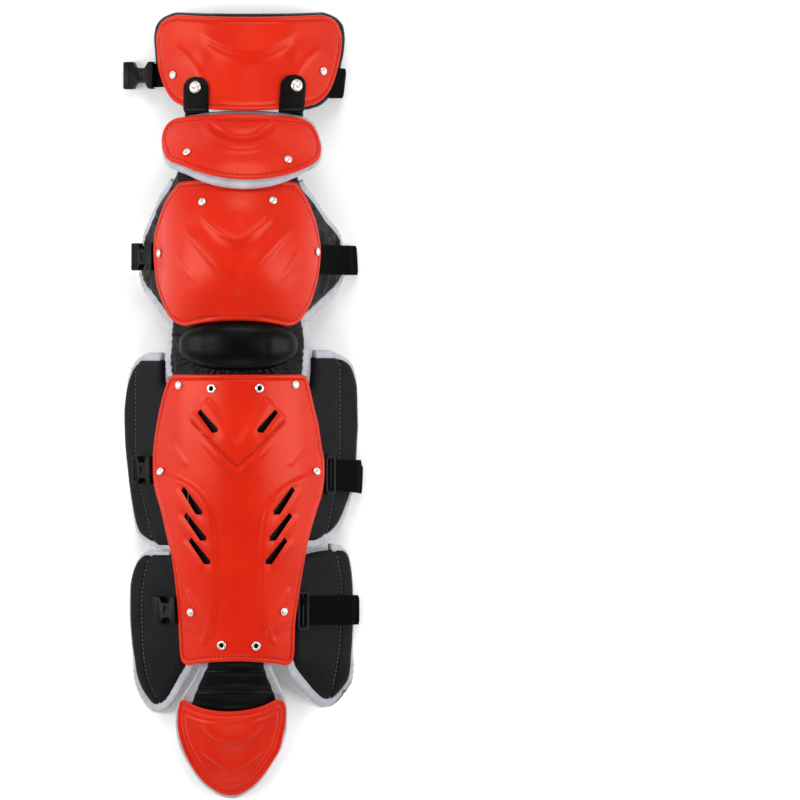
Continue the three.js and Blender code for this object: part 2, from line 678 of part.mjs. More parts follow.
for (const [name, centre, top, lean, u, v] of tabs) {
  const body = toSolid(loft(tab(centre, top, lean)));
  const cut = body.intersect(toSolid(tabShape(centre, top, lean)));
  const hole = drill('thigh_plate', u, v, shank_radius + 0.8);
  add(name, toGeometry(cut.subtract(toSolid(hole))), 'black_leather');
}

// Rivets and snaps are domes on a shank; eyelets are open rings
function dome(radius, height, depth) {
  const points = [[0, -depth], [shank_radius, -depth], [shank_radius, 0], [radius, 0],
    [radius * 0.75, height * 0.8], [0, height]];
  return new THREE.LatheGeometry(points.map(([x, y]) => new THREE.Vector2(x, y)), 7);
}
function ring(radius, height, depth) {
  const points = [[2.1, -depth], [2.6, -depth], [2.6, 0], [radius, 0], [radius * 0.8, height],
    [2.1, height * 0.6], [2.1, -depth]];
  return new THREE.LatheGeometry(points.map(([x, y]) => new THREE.Vector2(x, y)), 8);
}
for (const [name, plate_name, u, v, kind] of fittings) {
  const on_tab = kind === 'snap' ? tab_thickness + fit_gap : 0;
  const spot = kind === 'snap'
    ? spotOn(plate_name, u, v, 2 * fit_gap, surfaces.tab)
    : spotOn(plate_name, u, v, (kind === 'eyelet' ? 3.4 : 2.2) * fit_gap);
  const depth = plate_thickness * 0.8 + on_tab;
  const body = kind === 'eyelet'
    ? ring(eyelet_radius, head_height * 0.6, depth)
    : dome(kind === 'snap' ? snap_radius : rivet_radius, kind === 'snap' ? 3 : head_height, depth);
  const mesh = add(name, closed(body), 'bright_metal');
  mesh.position.copy(spot.position);
  mesh.quaternion.copy(spot.turn);
}

// Bindings run along the rim of a pad: a rim walk goes over its top, down its outer side, along
// its foot and up its inner side
function rimPoint(side, at) {
  if (at < 1) return { u: side * (2 * at - 1), v: 0 };
  if (at < 2) return { u: side, v: at - 1 };
  if (at < 3) return { u: side * (1 - 2 * (at - 2)), v: 1 };
  return { u: -side, v: 4 - at };
}
function binding(form, pad_form, side, widths, layer) {
  const { across, along, seen, beside } = pad_form;
  const stops = [];
  for (let i = 0; i <= across; i += 1) stops.push(eased(i / across, 0.25));
  for (let j = 1; j <= along; j += 1) stops.push(1 + eased(j / along, 0.6));
  for (let i = 1; i <= across; i += 1) stops.push(2 + eased(i / across, 0.25));
  for (let j = 1; j <= along; j += 1) stops.push(3 + eased(j / along, 0.6));
  const used = stops.filter((at) => at >= widths[0][0] && at <= widths[widths.length - 1][0]);
  const points = used.map((at) => {
    const { u, v } = rimPoint(side, at);
    const p = outlinePoint(form, u, v, seen, beside);
    return new THREE.Vector2(p.arc, p.y);
  });
  const rings = points.map((here, i) => {
    const before = points[Math.max(i - 1, 0)];
    const after = points[Math.min(i + 1, points.length - 1)];
    const along_rim = after.clone().sub(before).normalize();
    const out = new THREE.Vector2(along_rim.y, -along_rim.x).multiplyScalar(-side);
    const near = here.clone().addScaledVector(out, 1.5 * fit_gap);
    const far = near.clone().addScaledVector(out, read(widths, used[i], 1));
    const [low, high] = layer;
    const nose = [lerp(low, high, 0.55), lerp(low, high, 0.8)];
    const corners = [[near, low], [far, nose[0]], [far, nose[1]], [near, high]];
    return corners.map(([p, height], k) => {
      const point = place(p.x, p.y, height);
      point.z = Math.max(point.z, 0);
      point.flatX = k === 0 || k === 3 ? 0 : 1;
      point.flatY = k < 2 ? 0 : 1;
      return point;
    });
  });
  return loft(rings);
}

const binding_thickness = 5.5;
const rim = [0.5, binding_thickness];
// Widths along the rim. Columns: place on the rim walk, width in millimetres
const rim_widths = {
  knee_binding_left: [[1.19, 6], [1.4, 6.5], [1.55, 5], [1.75, 9], [1.9, 10], [1.985, 9]],
  knee_binding_right: [
    [1.19, 4.5], [1.35, 3], [1.52, 3], [1.62, 7], [1.75, 10], [1.9, 10], [1.985, 9],
  ],
  upper_binding_left: [[0.1, 7], [0.6, 7], [1.04, 4], [1.2, 1.5], [1.8, 1.5], [1.94, 4], [2.6, 3.6]],
  upper_binding_right: [[0.1, 7], [0.6, 7], [1.04, 4], [1.2, 1.5], [1.8, 4], [1.94, 7], [2.6, 6]],
  lower_binding_left: [
    [0.4, 3.5], [0.9, 3.5], [1.1, 1.5], [1.6, 1.5], [1.85, 5], [2.1, 7], [2.9, 7.5], [3.3, 7.5],
  ],
  lower_binding_right: [
    [0.2, 6], [0.9, 4], [1.1, 1.5], [1.6, 1.5], [1.85, 5], [2.1, 7], [2.9, 7.5], [3.3, 7.5],
  ],
};
for (const [name, widths] of Object.entries(rim_widths)) {
  const side = name.endsWith('left') ? -1 : 1;
  const padded = name.startsWith('knee') ? 'knee_pad' : name.replace('binding', 'wing');
  add(name, binding(outlines[padded], pads[padded], side, widths, rim), 'silver_fabric');
}

// A flat band along a path in the plane across the guard: its path is worked out at both edges
const knee_slack = 1.03;
function webbing(pathAt, y, width) {
  const rings = [];
  for (const share of [-0.5, 0.5]) {
    const path = pathAt(y + share * width);
    const half = web_thickness / 2;
    const normals = path.map((p, i) => {
      const a = path[Math.max(i - 1, 0)];
      const b = path[Math.min(i + 1, path.length - 1)];
      return new THREE.Vector2(b.y - a.y, a.x - b.x).normalize();
    });
    const outer = path.map((p, i) => p.clone().addScaledVector(normals[i], half));
    const inner = path.map((p, i) => p.clone().addScaledVector(normals[i], -half)).reverse();
    rings.push([...outer, ...inner].map((p) => {
      const point = new THREE.Vector3(p.x, y + share * width, p.y);
      point.flatX = p.x;
      point.flatY = p.y;
      return point;
    }));
  }
  return loft(rings);
}

// Straps leave the right of a plate, turn round the rim and run back along the floor.
// Columns: name, middle height y, where the free end lies as a share of the foot reach,
// how far the strap stands off from the flank at its foot
const straps = [
  ['thigh', 307.8, -0.2, 0],
  ['knee', 138.7, -0.43, 7.5],
  ['upper_calf', -66, -0.43, 0],
  ['lower_calf', -195.2, -0.43, 0],
];
function strapPath(end, stand_off) {
  return (y) => {
    const h = hollow(y, 1);
    const path = [];
    const foot_arc = h.radius * h.angle
      + Math.max(0, (h.foot - h.radius * Math.sin(h.angle)) / Math.cos(h.angle));
    const free = foot_arc / 3;
    const angle = h.angle - Math.atan(2 * stand_off / free);
    const start = core_arc + 1;
    const steps = 9;
    for (let i = 0; i < steps; i += 1) {
      const arc = lerp(start, foot_arc, i / (steps - 1));
      const drop = rim_drop * clamp(1 - (foot_arc - arc) / 6, 0, 1);
      const off = stand_off * clamp(1 - (foot_arc - arc) / free, 0, 1) ** 2;
      const p = place(arc, y, web_middle + knee_slack * kneeBulge(arc, y) - drop + off);
      path.push(new THREE.Vector2(p.x, p.z));
    }
    const normal = new THREE.Vector2(Math.sin(angle), Math.cos(angle));
    const from = path[path.length - 1];
    const centre_z = web_thickness / 2 + fold_radius;
    const centre_x = from.x + (-fold_radius - (centre_z - from.y) * normal.y) / normal.x;
    const turns = 7;
    for (let i = 0; i <= turns; i += 1) {
      const a = lerp(angle, Math.PI, i / turns);
      path.push(new THREE.Vector2(
        centre_x + fold_radius * Math.sin(a),
        centre_z + fold_radius * Math.cos(a),
      ));
    }
    path.push(new THREE.Vector2(end, web_thickness / 2));
    return path;
  };
}
const clasp_shape = (half) => new THREE.Shape([
  [0, -half], [0, half], [-6, half], [-9, half * 0.6], [-clasp_length, half * 0.5],
  [-clasp_length, -half * 0.5], [-9, -half * 0.6], [-6, -half],
].map(([a, b]) => new THREE.Vector2(a, b)));
for (const [name, y, end, stand_off] of straps) {
  const end_x = end * foot_reach;
  add(`${name}_strap`, webbing(strapPath(end_x, stand_off), y, strap_width), 'black_webbing');
  const body = new THREE.ExtrudeGeometry(clasp_shape(clasp_width / 2), {
    depth: buckle_thickness * 0.8, bevelEnabled: false,
  });
  const mesh = add(`${name}_clasp`, closed(body), 'black_plastic');
  mesh.position.set(end_x - fit_gap, y, 0);
}

// On the left a short web ends in an open buckle.
// Columns: name, middle height y, plate it comes from under, slope in degrees, clear of the plate
const anchors = [
  ['thigh', 315.3, 'thigh_plate', 20, 13.5],
  ['knee', 141.7, 'knee_plate', 42, 4.5],
  ['upper_calf', -61.3, 'shin_plate', 0, 0.8],
  ['lower_calf', -194.3, 'shin_plate', 0, 0.8],
];
function buckleShape() {
  const half = buckle_width / 2;
  const points = [
    [0, half], [0.14, half], [0.22, half * 0.55], [0.62, half * 0.55], [0.7, half], [1, half],
  ].map(([a, b]) => new THREE.Vector2(-a * buckle_length, b));
  const mirrored = points.map((p) => new THREE.Vector2(p.x, -p.y)).reverse();
  return new THREE.Shape([...points, ...mirrored]);
}
for (const [name, y, plate_name, slope, clear] of anchors) {
  const form = outlines[plate_name];
  const v = (form.top - y) / form.length;
  const edge_arc = arcAt(rowOf(form, v).left, y, plate_outer);
  const h = hollow(y, -1);
  const start_arc = edge_arc - clear;
  const skin_angle = Math.min(-start_arc / h.radius, h.angle);
  const angle = slope ? degrees(slope) : skin_angle;
  const seat = pad_thickness + fit_gap;
  const base = place(start_arc, y, seat + (slope ? 0 : 2 * fit_gap));
  const outward = new THREE.Vector3(-Math.cos(angle), 0, -Math.sin(angle));
  const lengthwise = new THREE.Vector3(0, 1, 0);
  if (!slope) {
    const half = buckle_width / 2;
    const middle = start_arc - buckle_length / 2;
    const tip = place(start_arc - buckle_length, y, seat);
    outward.copy(tip).sub(place(start_arc, y, seat)).normalize();
    lengthwise.copy(place(middle, y + half, seat)).sub(place(middle, y - half, seat)).normalize();
  }
  const face = lengthwise.clone().cross(outward).normalize();
  lengthwise.copy(outward).cross(face).normalize();
  const shell = new THREE.ExtrudeGeometry(buckleShape(), {
    depth: buckle_thickness, bevelEnabled: false,
  });
  const mouth = new THREE.BoxGeometry(
    buckle_length * 0.75, buckle_width * 0.42, buckle_thickness * 0.5,
  );
  mouth.translate(-buckle_length * 0.7, 0, buckle_thickness / 2);
  const throat = new THREE.BoxGeometry(
    buckle_length * 0.3, anchor_width + 4 * fit_gap, web_thickness + 3,
  );
  throat.translate(-buckle_length * 0.02, 0, web_thickness / 2);
  const mesh = add(`${name}_buckle`, cutBy(closed(shell), [mouth, throat]), 'black_plastic');
  mesh.position.copy(base);
  mesh.quaternion.setFromRotationMatrix(
    new THREE.Matrix4().makeBasis(outward.clone().negate(), lengthwise, face),
  );
  const start = core_arc + 1;
  const pathAt = (yy) => {
    const path = [];
    const steps = 5;
    for (let i = 0; i < steps; i += 1) {
      const arc = -lerp(start, -start_arc - 1, i / (steps - 1));
      const p = place(arc, yy, web_middle + knee_slack * kneeBulge(arc, yy));
      path.push(new THREE.Vector2(p.x, p.z));
    }
    const tip = base.clone()
      .addScaledVector(outward, buckle_length * 0.1)
      .addScaledVector(face, web_thickness / 2)
      .addScaledVector(lengthwise, yy - y);
    path.push(new THREE.Vector2(tip.x, tip.z));
    return path;
  };
  add(`${name}_web`, webbing(pathAt, y, anchor_width), 'black_webbing');
}

// The origin is the middle of the footprint, on the floor
const box = new THREE.Box3().setFromObject(root, true);
for (const mesh of root.children) {
  mesh.position.x -= (box.min.x + box.max.x) / 2;
  mesh.position.y -= (box.min.y + box.max.y) / 2;
  mesh.position.z -= box.min.z;
}

export default root;
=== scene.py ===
# %% Load the frame
import math

import bmesh
import bpy
import numpy as np
from mathutils import Matrix, Vector


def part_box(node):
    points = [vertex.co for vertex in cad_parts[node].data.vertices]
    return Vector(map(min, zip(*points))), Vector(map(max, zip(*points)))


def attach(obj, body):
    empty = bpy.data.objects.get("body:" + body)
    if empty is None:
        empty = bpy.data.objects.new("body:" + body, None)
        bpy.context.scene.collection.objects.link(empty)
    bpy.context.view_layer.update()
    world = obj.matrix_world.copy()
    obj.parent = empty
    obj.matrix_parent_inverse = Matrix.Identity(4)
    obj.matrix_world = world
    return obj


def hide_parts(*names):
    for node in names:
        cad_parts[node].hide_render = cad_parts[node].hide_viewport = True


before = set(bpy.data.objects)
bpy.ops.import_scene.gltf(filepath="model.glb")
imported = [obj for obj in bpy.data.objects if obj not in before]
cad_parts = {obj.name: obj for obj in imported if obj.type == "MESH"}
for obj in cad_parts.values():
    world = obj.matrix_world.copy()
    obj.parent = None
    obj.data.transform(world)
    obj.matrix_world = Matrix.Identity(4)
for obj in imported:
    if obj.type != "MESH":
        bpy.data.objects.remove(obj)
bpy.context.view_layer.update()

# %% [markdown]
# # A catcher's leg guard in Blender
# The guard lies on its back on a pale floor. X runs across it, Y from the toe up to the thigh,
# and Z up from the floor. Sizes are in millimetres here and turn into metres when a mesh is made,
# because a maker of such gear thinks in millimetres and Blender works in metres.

mm = 0.001

# %% [markdown]
# ## The leg form
# Every piece of a leg guard is a layer over the leg, so one description of the leg places them
# all. At each height the leg is a round crown with straight flanks. A point is then told by three
# numbers: how far along the arc, how high up the leg, and how many millimetres out from the leg.
# The alternative, bending each piece by hand, would leave gaps and crossings between the layers.

# %% Sizes of the leg form and of the layers over it
guard_length, crown_height, hollow_radius, foot_reach = 748, 84, 72, 104
fit_gap, pad_thickness, core_rise, core_arc = 0.35, 10, 2.6, 46
plate_thickness, web_thickness, knee_rise = 3, 2, 9
plate_inner = pad_thickness + core_rise + fit_gap
plate_outer = plate_inner + plate_thickness
web_middle = pad_thickness + fit_gap + web_thickness / 2
strap_lift = web_thickness + 2 * fit_gap
rim_drop = pad_thickness * 0.3

# Columns: share of the length, crown, radius and foot as shares, centre line, share of the lift
leg_form = [
    (0.00, 0.61, 1.35, 0.81, 0.075, 1), (0.06, 0.61, 1.35, 0.81, 0.075, 1),
    (0.12, 0.66, 1.28, 0.79, 0.055, 1), (0.17, 0.86, 1.10, 0.79, 0.01, 1),
    (0.22, 1.02, 1.00, 0.83, 0, 1), (0.31, 1.10, 0.97, 0.88, 0.005, 1),
    (0.38, 1.05, 0.97, 0.90, 0, 1), (0.46, 1.00, 1.00, 1.01, 0, 1),
    (0.52, 1.00, 1.00, 1.03, 0, 1), (0.58, 0.97, 1.00, 1.02, 0, 1),
    (0.67, 0.87, 0.94, 0.99, 0, 1), (0.765, 0.71, 0.84, 0.99, 0, 1),
    (0.825, 0.63, 0.80, 0.97, -0.01, 1), (0.875, 0.46, 0.76, 0.80, -0.06, 0.4),
    (0.925, 0.27, 0.76, 0.60, -0.09, 0), (1.005, 0.00, 0.76, 0.52, -0.09, 0),
]


def read(rows, at, column):
    """A smooth value between the rows of a table, without overshoot."""
    rows = np.asarray(rows, float)
    x, y = rows[:, 0], rows[:, column]
    slope = np.diff(y) / np.diff(x)
    product, total = slope[:-1] * slope[1:], slope[:-1] + slope[1:]
    inner = np.where(product > 0, 2 * product / np.where(product > 0, total, 1), 0)
    tangent = np.concatenate([slope[:1], inner, slope[-1:]])
    at = np.asarray(at, float)
    i = np.clip(np.searchsorted(x, at) - 1, 0, len(x) - 2)
    span = x[i + 1] - x[i]
    t = np.clip((at - x[i]) / span, 0, 1)
    rest = 1 - t
    return (rest**2 * (1 + 2 * t) * y[i] + t * rest**2 * span * tangent[i]
            + t**2 * (3 - 2 * t) * y[i + 1] - t**2 * rest * span * tangent[i + 1])


def hollow(y, side):
    """Centre line, radius, height of the centre, angle of the flank and its foot at height y."""
    share = (guard_length / 2 - y) / guard_length
    crown = crown_height * read(leg_form, share, 1)
    foot = foot_reach * read(leg_form, share, 3)
    lift = np.where(side > 0, strap_lift * read(leg_form, share, 5), 0.0)
    rise = np.maximum(crown - lift, 0.01)
    radius = np.minimum(hollow_radius * read(leg_form, share, 2),
                        (foot**2 + rise**2) / (2 * rise))
    height = crown - radius
    reach = np.hypot(foot, height - lift)
    angle = np.arctan2(height - lift, foot) + np.arcsin(np.minimum(1, radius / reach))
    return foot_reach * read(leg_form, share, 4), radius, height, angle, foot


def arc_at(x, y, layer):
    """Where a point seen from the front at x lies along the arc, when it is a layer out."""
    x, y = np.broadcast_arrays(np.asarray(x, float), np.asarray(y, float))
    middle = foot_reach * read(leg_form, (guard_length / 2 - y) / guard_length, 4)
    side = np.where(x < middle, -1.0, 1.0)
    _, radius, _, angle, _ = hollow(y, side)
    across, outside = np.abs(x - middle), radius + layer
    turn = outside * np.sin(angle)
    on_crown = radius * np.arcsin(np.clip(across / outside, 0, 1))
    on_flank = radius * angle + (across - turn) / np.cos(angle)
    return side * np.where(across < turn, on_crown, on_flank)


def place(arc, y, layer):
    """Points in millimetres at arc positions, heights and layers."""
    arc, y, layer = np.broadcast_arrays(*(np.asarray(v, float) for v in (arc, y, layer)))
    side = np.where(arc < 0, -1.0, 1.0)
    middle, radius, height, flank, _ = hollow(y, side)
    length = np.abs(arc)
    angle = np.minimum(length / radius, flank)
    beyond = np.maximum(0, length - radius * flank)
    outside = radius + layer
    return np.stack([middle + side * (outside * np.sin(angle) + beyond * np.cos(angle)), y,
                     height + outside * np.cos(angle) - beyond * np.sin(angle)], -1)


# %% [markdown]
# ## Where the model stands
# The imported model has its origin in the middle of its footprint. One strap and its clasp have
# known places on the leg form, so comparing them with their boxes gives the shift between the
# two, and nothing has to be fitted by eye.

# %% Shift from the leg form to the frame
knee_strap_y, strap_end_share = 138.7, -0.43
strap_box, clasp_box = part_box("knee_strap"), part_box("knee_clasp")
shift = np.array([
    clasp_box[1][0] / mm - (strap_end_share * foot_reach - fit_gap),
    (strap_box[0][1] + strap_box[1][1]) / 2 / mm - knee_strap_y,
    0.0,
])
print("shift in millimetres", shift.round(3))

# %% [markdown]
# ## Outlines
# The red plates and the pads are cut like sewing patterns: a top edge, a length, a half width and
# a centre line, and a short table with the left and right edge at shares of the length. The same
# patterns, but for a few millimetres, made the solids, so every dressed piece covers its own.

# %% Outlines, with rows of: share of the length, left and right edge as shares of the half width
outlines = {
    "thigh_plate": dict(top=371.9, length=88.3, half=89, centre=7.6, bow=(-3.2, -4), rows=[
        (0, -0.77, 0.79), (0.03, -0.88, 0.89), (0.1, -0.96, 0.96), (0.24, -1, 1),
        (0.39, -0.99, 0.99), (0.55, -0.98, 0.96), (0.7, -0.94, 0.92), (0.82, -0.89, 0.87),
        (0.91, -0.83, 0.8), (0.97, -0.75, 0.71), (1, -0.66, 0.6)]),
    "thigh_pad": dict(top=375.1, length=93.6, half=90.4, centre=7.8, bow=(-2.8, 0), rows=[
        (0, -0.79, 0.8), (0.04, -0.91, 0.91), (0.12, -0.98, 0.98), (0.26, -1, 1),
        (0.4, -0.99, 0.99), (0.55, -0.98, 0.96), (0.7, -0.93, 0.93), (0.81, -0.87, 0.88),
        (0.9, -0.8, 0.82), (0.96, -0.72, 0.75), (1, -0.62, 0.64)]),
    "band_plate": dict(top=273.2, length=47.6, half=75.8, centre=0.2, bow=(3.3, -12.3), rows=[
        (0, -0.84, 0.76), (0.1, -0.93, 0.89), (0.27, -0.985, 0.96), (0.45, -1, 1),
        (0.63, -0.98, 1.02), (0.84, -0.92, 0.99), (1, -0.69, 0.86)]),
    "band_pad": dict(top=274, length=55, half=76.7, centre=1.2, bow=(6.2, -14.7), rows=[
        (0, -0.76, 0.81), (0.1, -0.9, 0.91), (0.28, -0.97, 0.96), (0.5, -1, 1),
        (0.68, -0.98, 1), (0.85, -0.93, 0.95), (1, -0.69, 0.76)]),
    "knee_plate": dict(top=211.4, length=136.8, half=79.6, centre=-3.2, bow=(3.8, 5.7), rows=[
        (0, -0.69, 0.72), (0.09, -0.81, 0.81), (0.18, -0.89, 0.88), (0.28, -0.95, 0.94),
        (0.37, -0.99, 0.98), (0.47, -1, 1), (0.57, -0.99, 0.99), (0.67, -0.97, 0.96),
        (0.75, -0.94, 0.92), (0.84, -0.88, 0.87), (0.91, -0.83, 0.81), (0.96, -0.76, 0.76),
        (0.985, -0.69, 0.7), (1, -0.59, 0.6)]),
    "knee_pad": dict(top=242.7, length=218.5, half=96.5, centre=0.9, bow=(0, 0), rows=[
        (0, -0.55, 0.5), (0.16, -0.7, 0.59), (0.22, -0.8, 0.7), (0.3, -0.88, 0.82),
        (0.38, -0.96, 0.96), (0.46, -0.99, 0.99), (0.52, -1, 1), (0.58, -0.96, 0.94),
        (0.63, -0.87, 0.83), (0.69, -0.77, 0.69), (0.74, -0.67, 0.59), (0.78, -0.68, 0.61),
        (0.85, -0.69, 0.62), (0.91, -0.7, 0.61), (1, -0.68, 0.6)]),
    "bolster": dict(top=78.1, length=43.9, half=55.3, centre=-1.4, bow=(0.9, -0.9), rows=[
        (0, -0.46, 0.46), (0.04, -0.66, 0.66), (0.11, -0.82, 0.82), (0.23, -0.94, 0.94),
        (0.38, -1, 1), (0.58, -1, 1), (0.73, -0.94, 0.94), (0.85, -0.81, 0.81),
        (0.94, -0.66, 0.66), (1, -0.45, 0.45)]),
    "shin_plate": dict(top=29.4, length=276.9, half=82.1, centre=-1.9, bow=(0, 4.8), rows=[
        (0, -0.75, 0.76), (0.01, -0.8, 0.8), (0.03, -0.83, 0.82), (0.11, -0.91, 0.88),
        (0.17, -0.95, 0.93), (0.25, -0.99, 0.97), (0.3, -1, 1), (0.34, -1, 1),
        (0.4, -0.97, 0.98), (0.46, -0.91, 0.92), (0.55, -0.84, 0.83), (0.64, -0.77, 0.77),
        (0.77, -0.72, 0.7), (0.86, -0.7, 0.66), (0.95, -0.685, 0.65), (0.98, -0.67, 0.635),
        (0.992, -0.645, 0.61), (1, -0.59, 0.555)]),
    "shin_pad": dict(top=23.3, length=257.1, half=60, centre=-1.9, bow=(0, 0), rows=[
        (0, -1, 1), (1, -1, 1)]),
    "upper_wing_left": dict(top=43.2, length=176.7, half=29.7, centre=-82.5, bow=(0, 0), rows=[
        (0, -0.47, 0.26), (0.03, -0.65, 0.26), (0.07, -0.77, 0.26), (0.12, -0.87, 0.28),
        (0.19, -0.95, 1), (0.29, -1, 1), (0.43, -0.98, 1), (0.59, -0.89, 1),
        (0.74, -0.78, 1), (0.86, -0.65, 1), (0.93, -0.5, 1), (0.97, -0.21, 1),
        (1, 0.14, 1)]),
    "upper_wing_right": dict(top=45.6, length=174.3, half=30.4, centre=81.2, bow=(0, 0), rows=[
        (0, -0.38, 0.38), (0.02, -0.38, 0.62), (0.05, -0.38, 0.78), (0.1, -0.4, 0.89),
        (0.16, -0.44, 0.97), (0.23, -1, 0.99), (0.36, -1, 1), (0.45, -1, 0.97),
        (0.59, -1, 0.93), (0.74, -1, 0.76), (0.82, -1, 0.6), (0.9, -1, 0.4),
        (0.96, -1, 0.09), (1, -1, -0.34)]),
    "lower_wing_left": dict(top=-142, length=143.9, half=28, centre=-78.8, bow=(0, 0), rows=[
        (0, -0.49, 1), (0.04, -0.71, 1), (0.11, -0.88, 1), (0.22, -0.99, 1),
        (0.39, -1, 1), (0.59, -0.93, 1), (0.7, -0.85, 1), (0.79, -0.78, 0.76),
        (0.89, -0.6, 0.47), (0.95, -0.41, 0.29), (1, -0.2, 0.05)]),
    "lower_wing_right": dict(top=-137.8, length=143.4, half=29.2, centre=78.1, bow=(0, 0), rows=[
        (0, 0.17, 0.68), (0.02, -0.38, 0.79), (0.08, -1, 0.89), (0.22, -1, 0.97),
        (0.42, -1, 1), (0.62, -1, 0.97), (0.69, -1, 0.94), (0.77, -0.9, 0.92),
        (0.86, -0.59, 0.85), (0.94, -0.28, 0.58), (1, 0.03, 0.3)]),
    "ankle_flap": dict(top=-234.2, length=60.8, half=44.6, centre=-7.1, bow=(0, 0), rows=[
        (0, -0.51, 0.66), (0.17, -0.55, 0.67), (0.36, -0.66, 0.73), (0.52, -0.76, 0.82),
        (0.7, -0.86, 0.91), (1, -1, 1)]),
    "foot_lining": dict(top=-234.2, length=136.8, half=54.3, centre=-9.6, bow=(0, -4.8), rows=[
        (0, -0.51, 0.71), (0.08, -0.54, 0.72), (0.19, -0.67, 0.82), (0.31, -0.86, 0.95),
        (0.42, -0.98, 1), (0.52, -1, 1), (0.67, -0.93, 0.91), (0.76, -0.82, 0.78),
        (0.85, -0.68, 0.64), (0.94, -0.5, 0.46), (1, -0.28, 0.26)]),
    "toe_plate": dict(top=-278.8, length=89.3, half=50.8, centre=-8.7, bow=(-12.3, -4.8), rows=[
        (0, -0.93, 0.84), (0.06, -0.97, 0.99), (0.15, -1, 1), (0.28, -1.01, 0.99),
        (0.41, -0.98, 0.94), (0.55, -0.91, 0.89), (0.68, -0.81, 0.76), (0.81, -0.67, 0.61),
        (0.93, -0.49, 0.43), (1, -0.32, 0.27)]),
}


def on_outline(form, u, v, layer, beside=""):
    """Arc position and height of an outline's point. Wings begin beside the core pad."""
    y = (form["top"] - form["length"] * v
         + (1 - u**2) * (form["bow"][0] * (1 - v) ** 2 + form["bow"][1] * v**2))
    layer = layer(y) if callable(layer) else layer
    left = arc_at(form["centre"] + form["half"] * read(form["rows"], v, 1), y, layer)
    right = arc_at(form["centre"] + form["half"] * read(form["rows"], v, 2), y, layer)
    if beside == "left":
        right = np.minimum(right, -core_arc - fit_gap)
    if beside == "right":
        left = np.maximum(left, core_arc + fit_gap)
    if beside == "core":
        left, right = np.full_like(left, -core_arc), np.full_like(right, core_arc)
    return left + (right - left) * (u + 1) / 2, y


def eased(count, ease):
    """Shares from 0 to 1, closer together at both ends."""
    t = np.linspace(0, 1, count + 1)
    return t + ease * (0.5 - 0.5 * np.cos(np.pi * t) - t)


print(len(outlines), "outlines")

# %% [markdown]
# ## Finishes
# A moulded plate, a coated nylon, two leathers, a silver cloth, webbing, moulded nylon buckles and
# nickel fittings make up the guard. Each finish is a small node tree with its own colour change,
# roughness and relief. Weave and grain follow the cut of the cloth, so they read a map that holds
# the cut in metres; buckles, metal and thread read their place in the object instead.

# %% Helpers for the node trees


def paint(code):
    """Linear colour of a web colour such as e93a2a."""
    parts = [int(code[i:i + 2], 16) / 255 for i in (0, 2, 4)]
    return (*(p / 12.92 if p <= 0.04045 else ((p + 0.055) / 1.055) ** 2.4 for p in parts), 1)


class Finish:
    """A material with one principled shader and the nodes that feed it."""

    def __init__(self, name, on_cut=True):
        self.material = bpy.data.materials.new(name)
        self.material.use_nodes = True
        self.tree = self.material.node_tree
        self.shader = self.tree.nodes["Principled BSDF"]
        if on_cut:
            self.place = self.add("ShaderNodeUVMap", uv_map="cut").outputs["UV"]
        else:
            self.place = self.add("ShaderNodeTexCoord").outputs["Object"]
        self.height = None

    def add(self, kind, **settings):
        node = self.tree.nodes.new(kind)
        for key, value in settings.items():
            setattr(node, key, value)
        return node

    def noise(self, size, detail=2.0, along=(1, 1, 1)):
        """Soft noise with spots of about size millimetres."""
        mapping = self.add("ShaderNodeMapping")
        mapping.inputs["Scale"].default_value = along
        self.tree.links.new(self.place, mapping.inputs["Vector"])
        node = self.add("ShaderNodeTexNoise")
        node.inputs["Scale"].default_value = 1 / (size * mm)
        node.inputs["Detail"].default_value = detail
        self.tree.links.new(mapping.outputs["Vector"], node.inputs["Vector"])
        return node.outputs["Fac"]

    def grain(self, size):
        """Pebbled cells of about size millimetres."""
        node = self.add("ShaderNodeTexVoronoi", feature="DISTANCE_TO_EDGE")
        node.inputs["Scale"].default_value = 1 / (size * mm)
        self.tree.links.new(self.place, node.inputs["Vector"])
        return node.outputs["Distance"]

    def ribs(self, pitch, direction, wobble=0.0):
        """Parallel ribs, pitch millimetres apart."""
        node = self.add("ShaderNodeTexWave", bands_direction=direction)
        node.inputs["Scale"].default_value = 2 * math.pi / 20 / (pitch * mm)
        node.inputs["Distortion"].default_value = wobble
        self.tree.links.new(self.place, node.inputs["Vector"])
        return node.outputs["Fac"]

    def mix(self, how, a, b):
        node = self.add("ShaderNodeMath", operation=how)
        for socket, value in zip(node.inputs, (a, b)):
            if isinstance(value, (int, float)):
                socket.default_value = value
            else:
                self.tree.links.new(value, socket)
        return node.outputs[0]

    def colour(self, factor, dark, light, low=0.3, high=0.7):
        ramp = self.add("ShaderNodeValToRGB")
        ramp.color_ramp.elements[0].position, ramp.color_ramp.elements[1].position = low, high
        ramp.color_ramp.elements[0].color = paint(dark)
        ramp.color_ramp.elements[1].color = paint(light)
        self.tree.links.new(factor, ramp.inputs["Fac"])
        self.tree.links.new(ramp.outputs["Color"], self.shader.inputs["Base Color"])

    def roughness(self, factor, low, high):
        node = self.add("ShaderNodeMapRange")
        node.inputs["To Min"].default_value, node.inputs["To Max"].default_value = low, high
        self.tree.links.new(factor, node.inputs["Value"])
        self.tree.links.new(node.outputs["Result"], self.shader.inputs["Roughness"])

    def relief(self, factor, depth, strength=1.0):
        """Bump of depth millimetres; further calls add up."""
        node = self.add("ShaderNodeBump")
        node.inputs["Distance"].default_value = depth * mm
        node.inputs["Strength"].default_value = strength
        self.tree.links.new(factor, node.inputs["Height"])
        if self.height is not None:
            self.tree.links.new(self.height, node.inputs["Normal"])
        self.height = node.outputs["Normal"]
        self.tree.links.new(self.height, self.shader.inputs["Normal"])

    def set(self, **values):
        for key, value in values.items():
            self.shader.inputs[key.replace("_", " ")].default_value = value
        return self.material


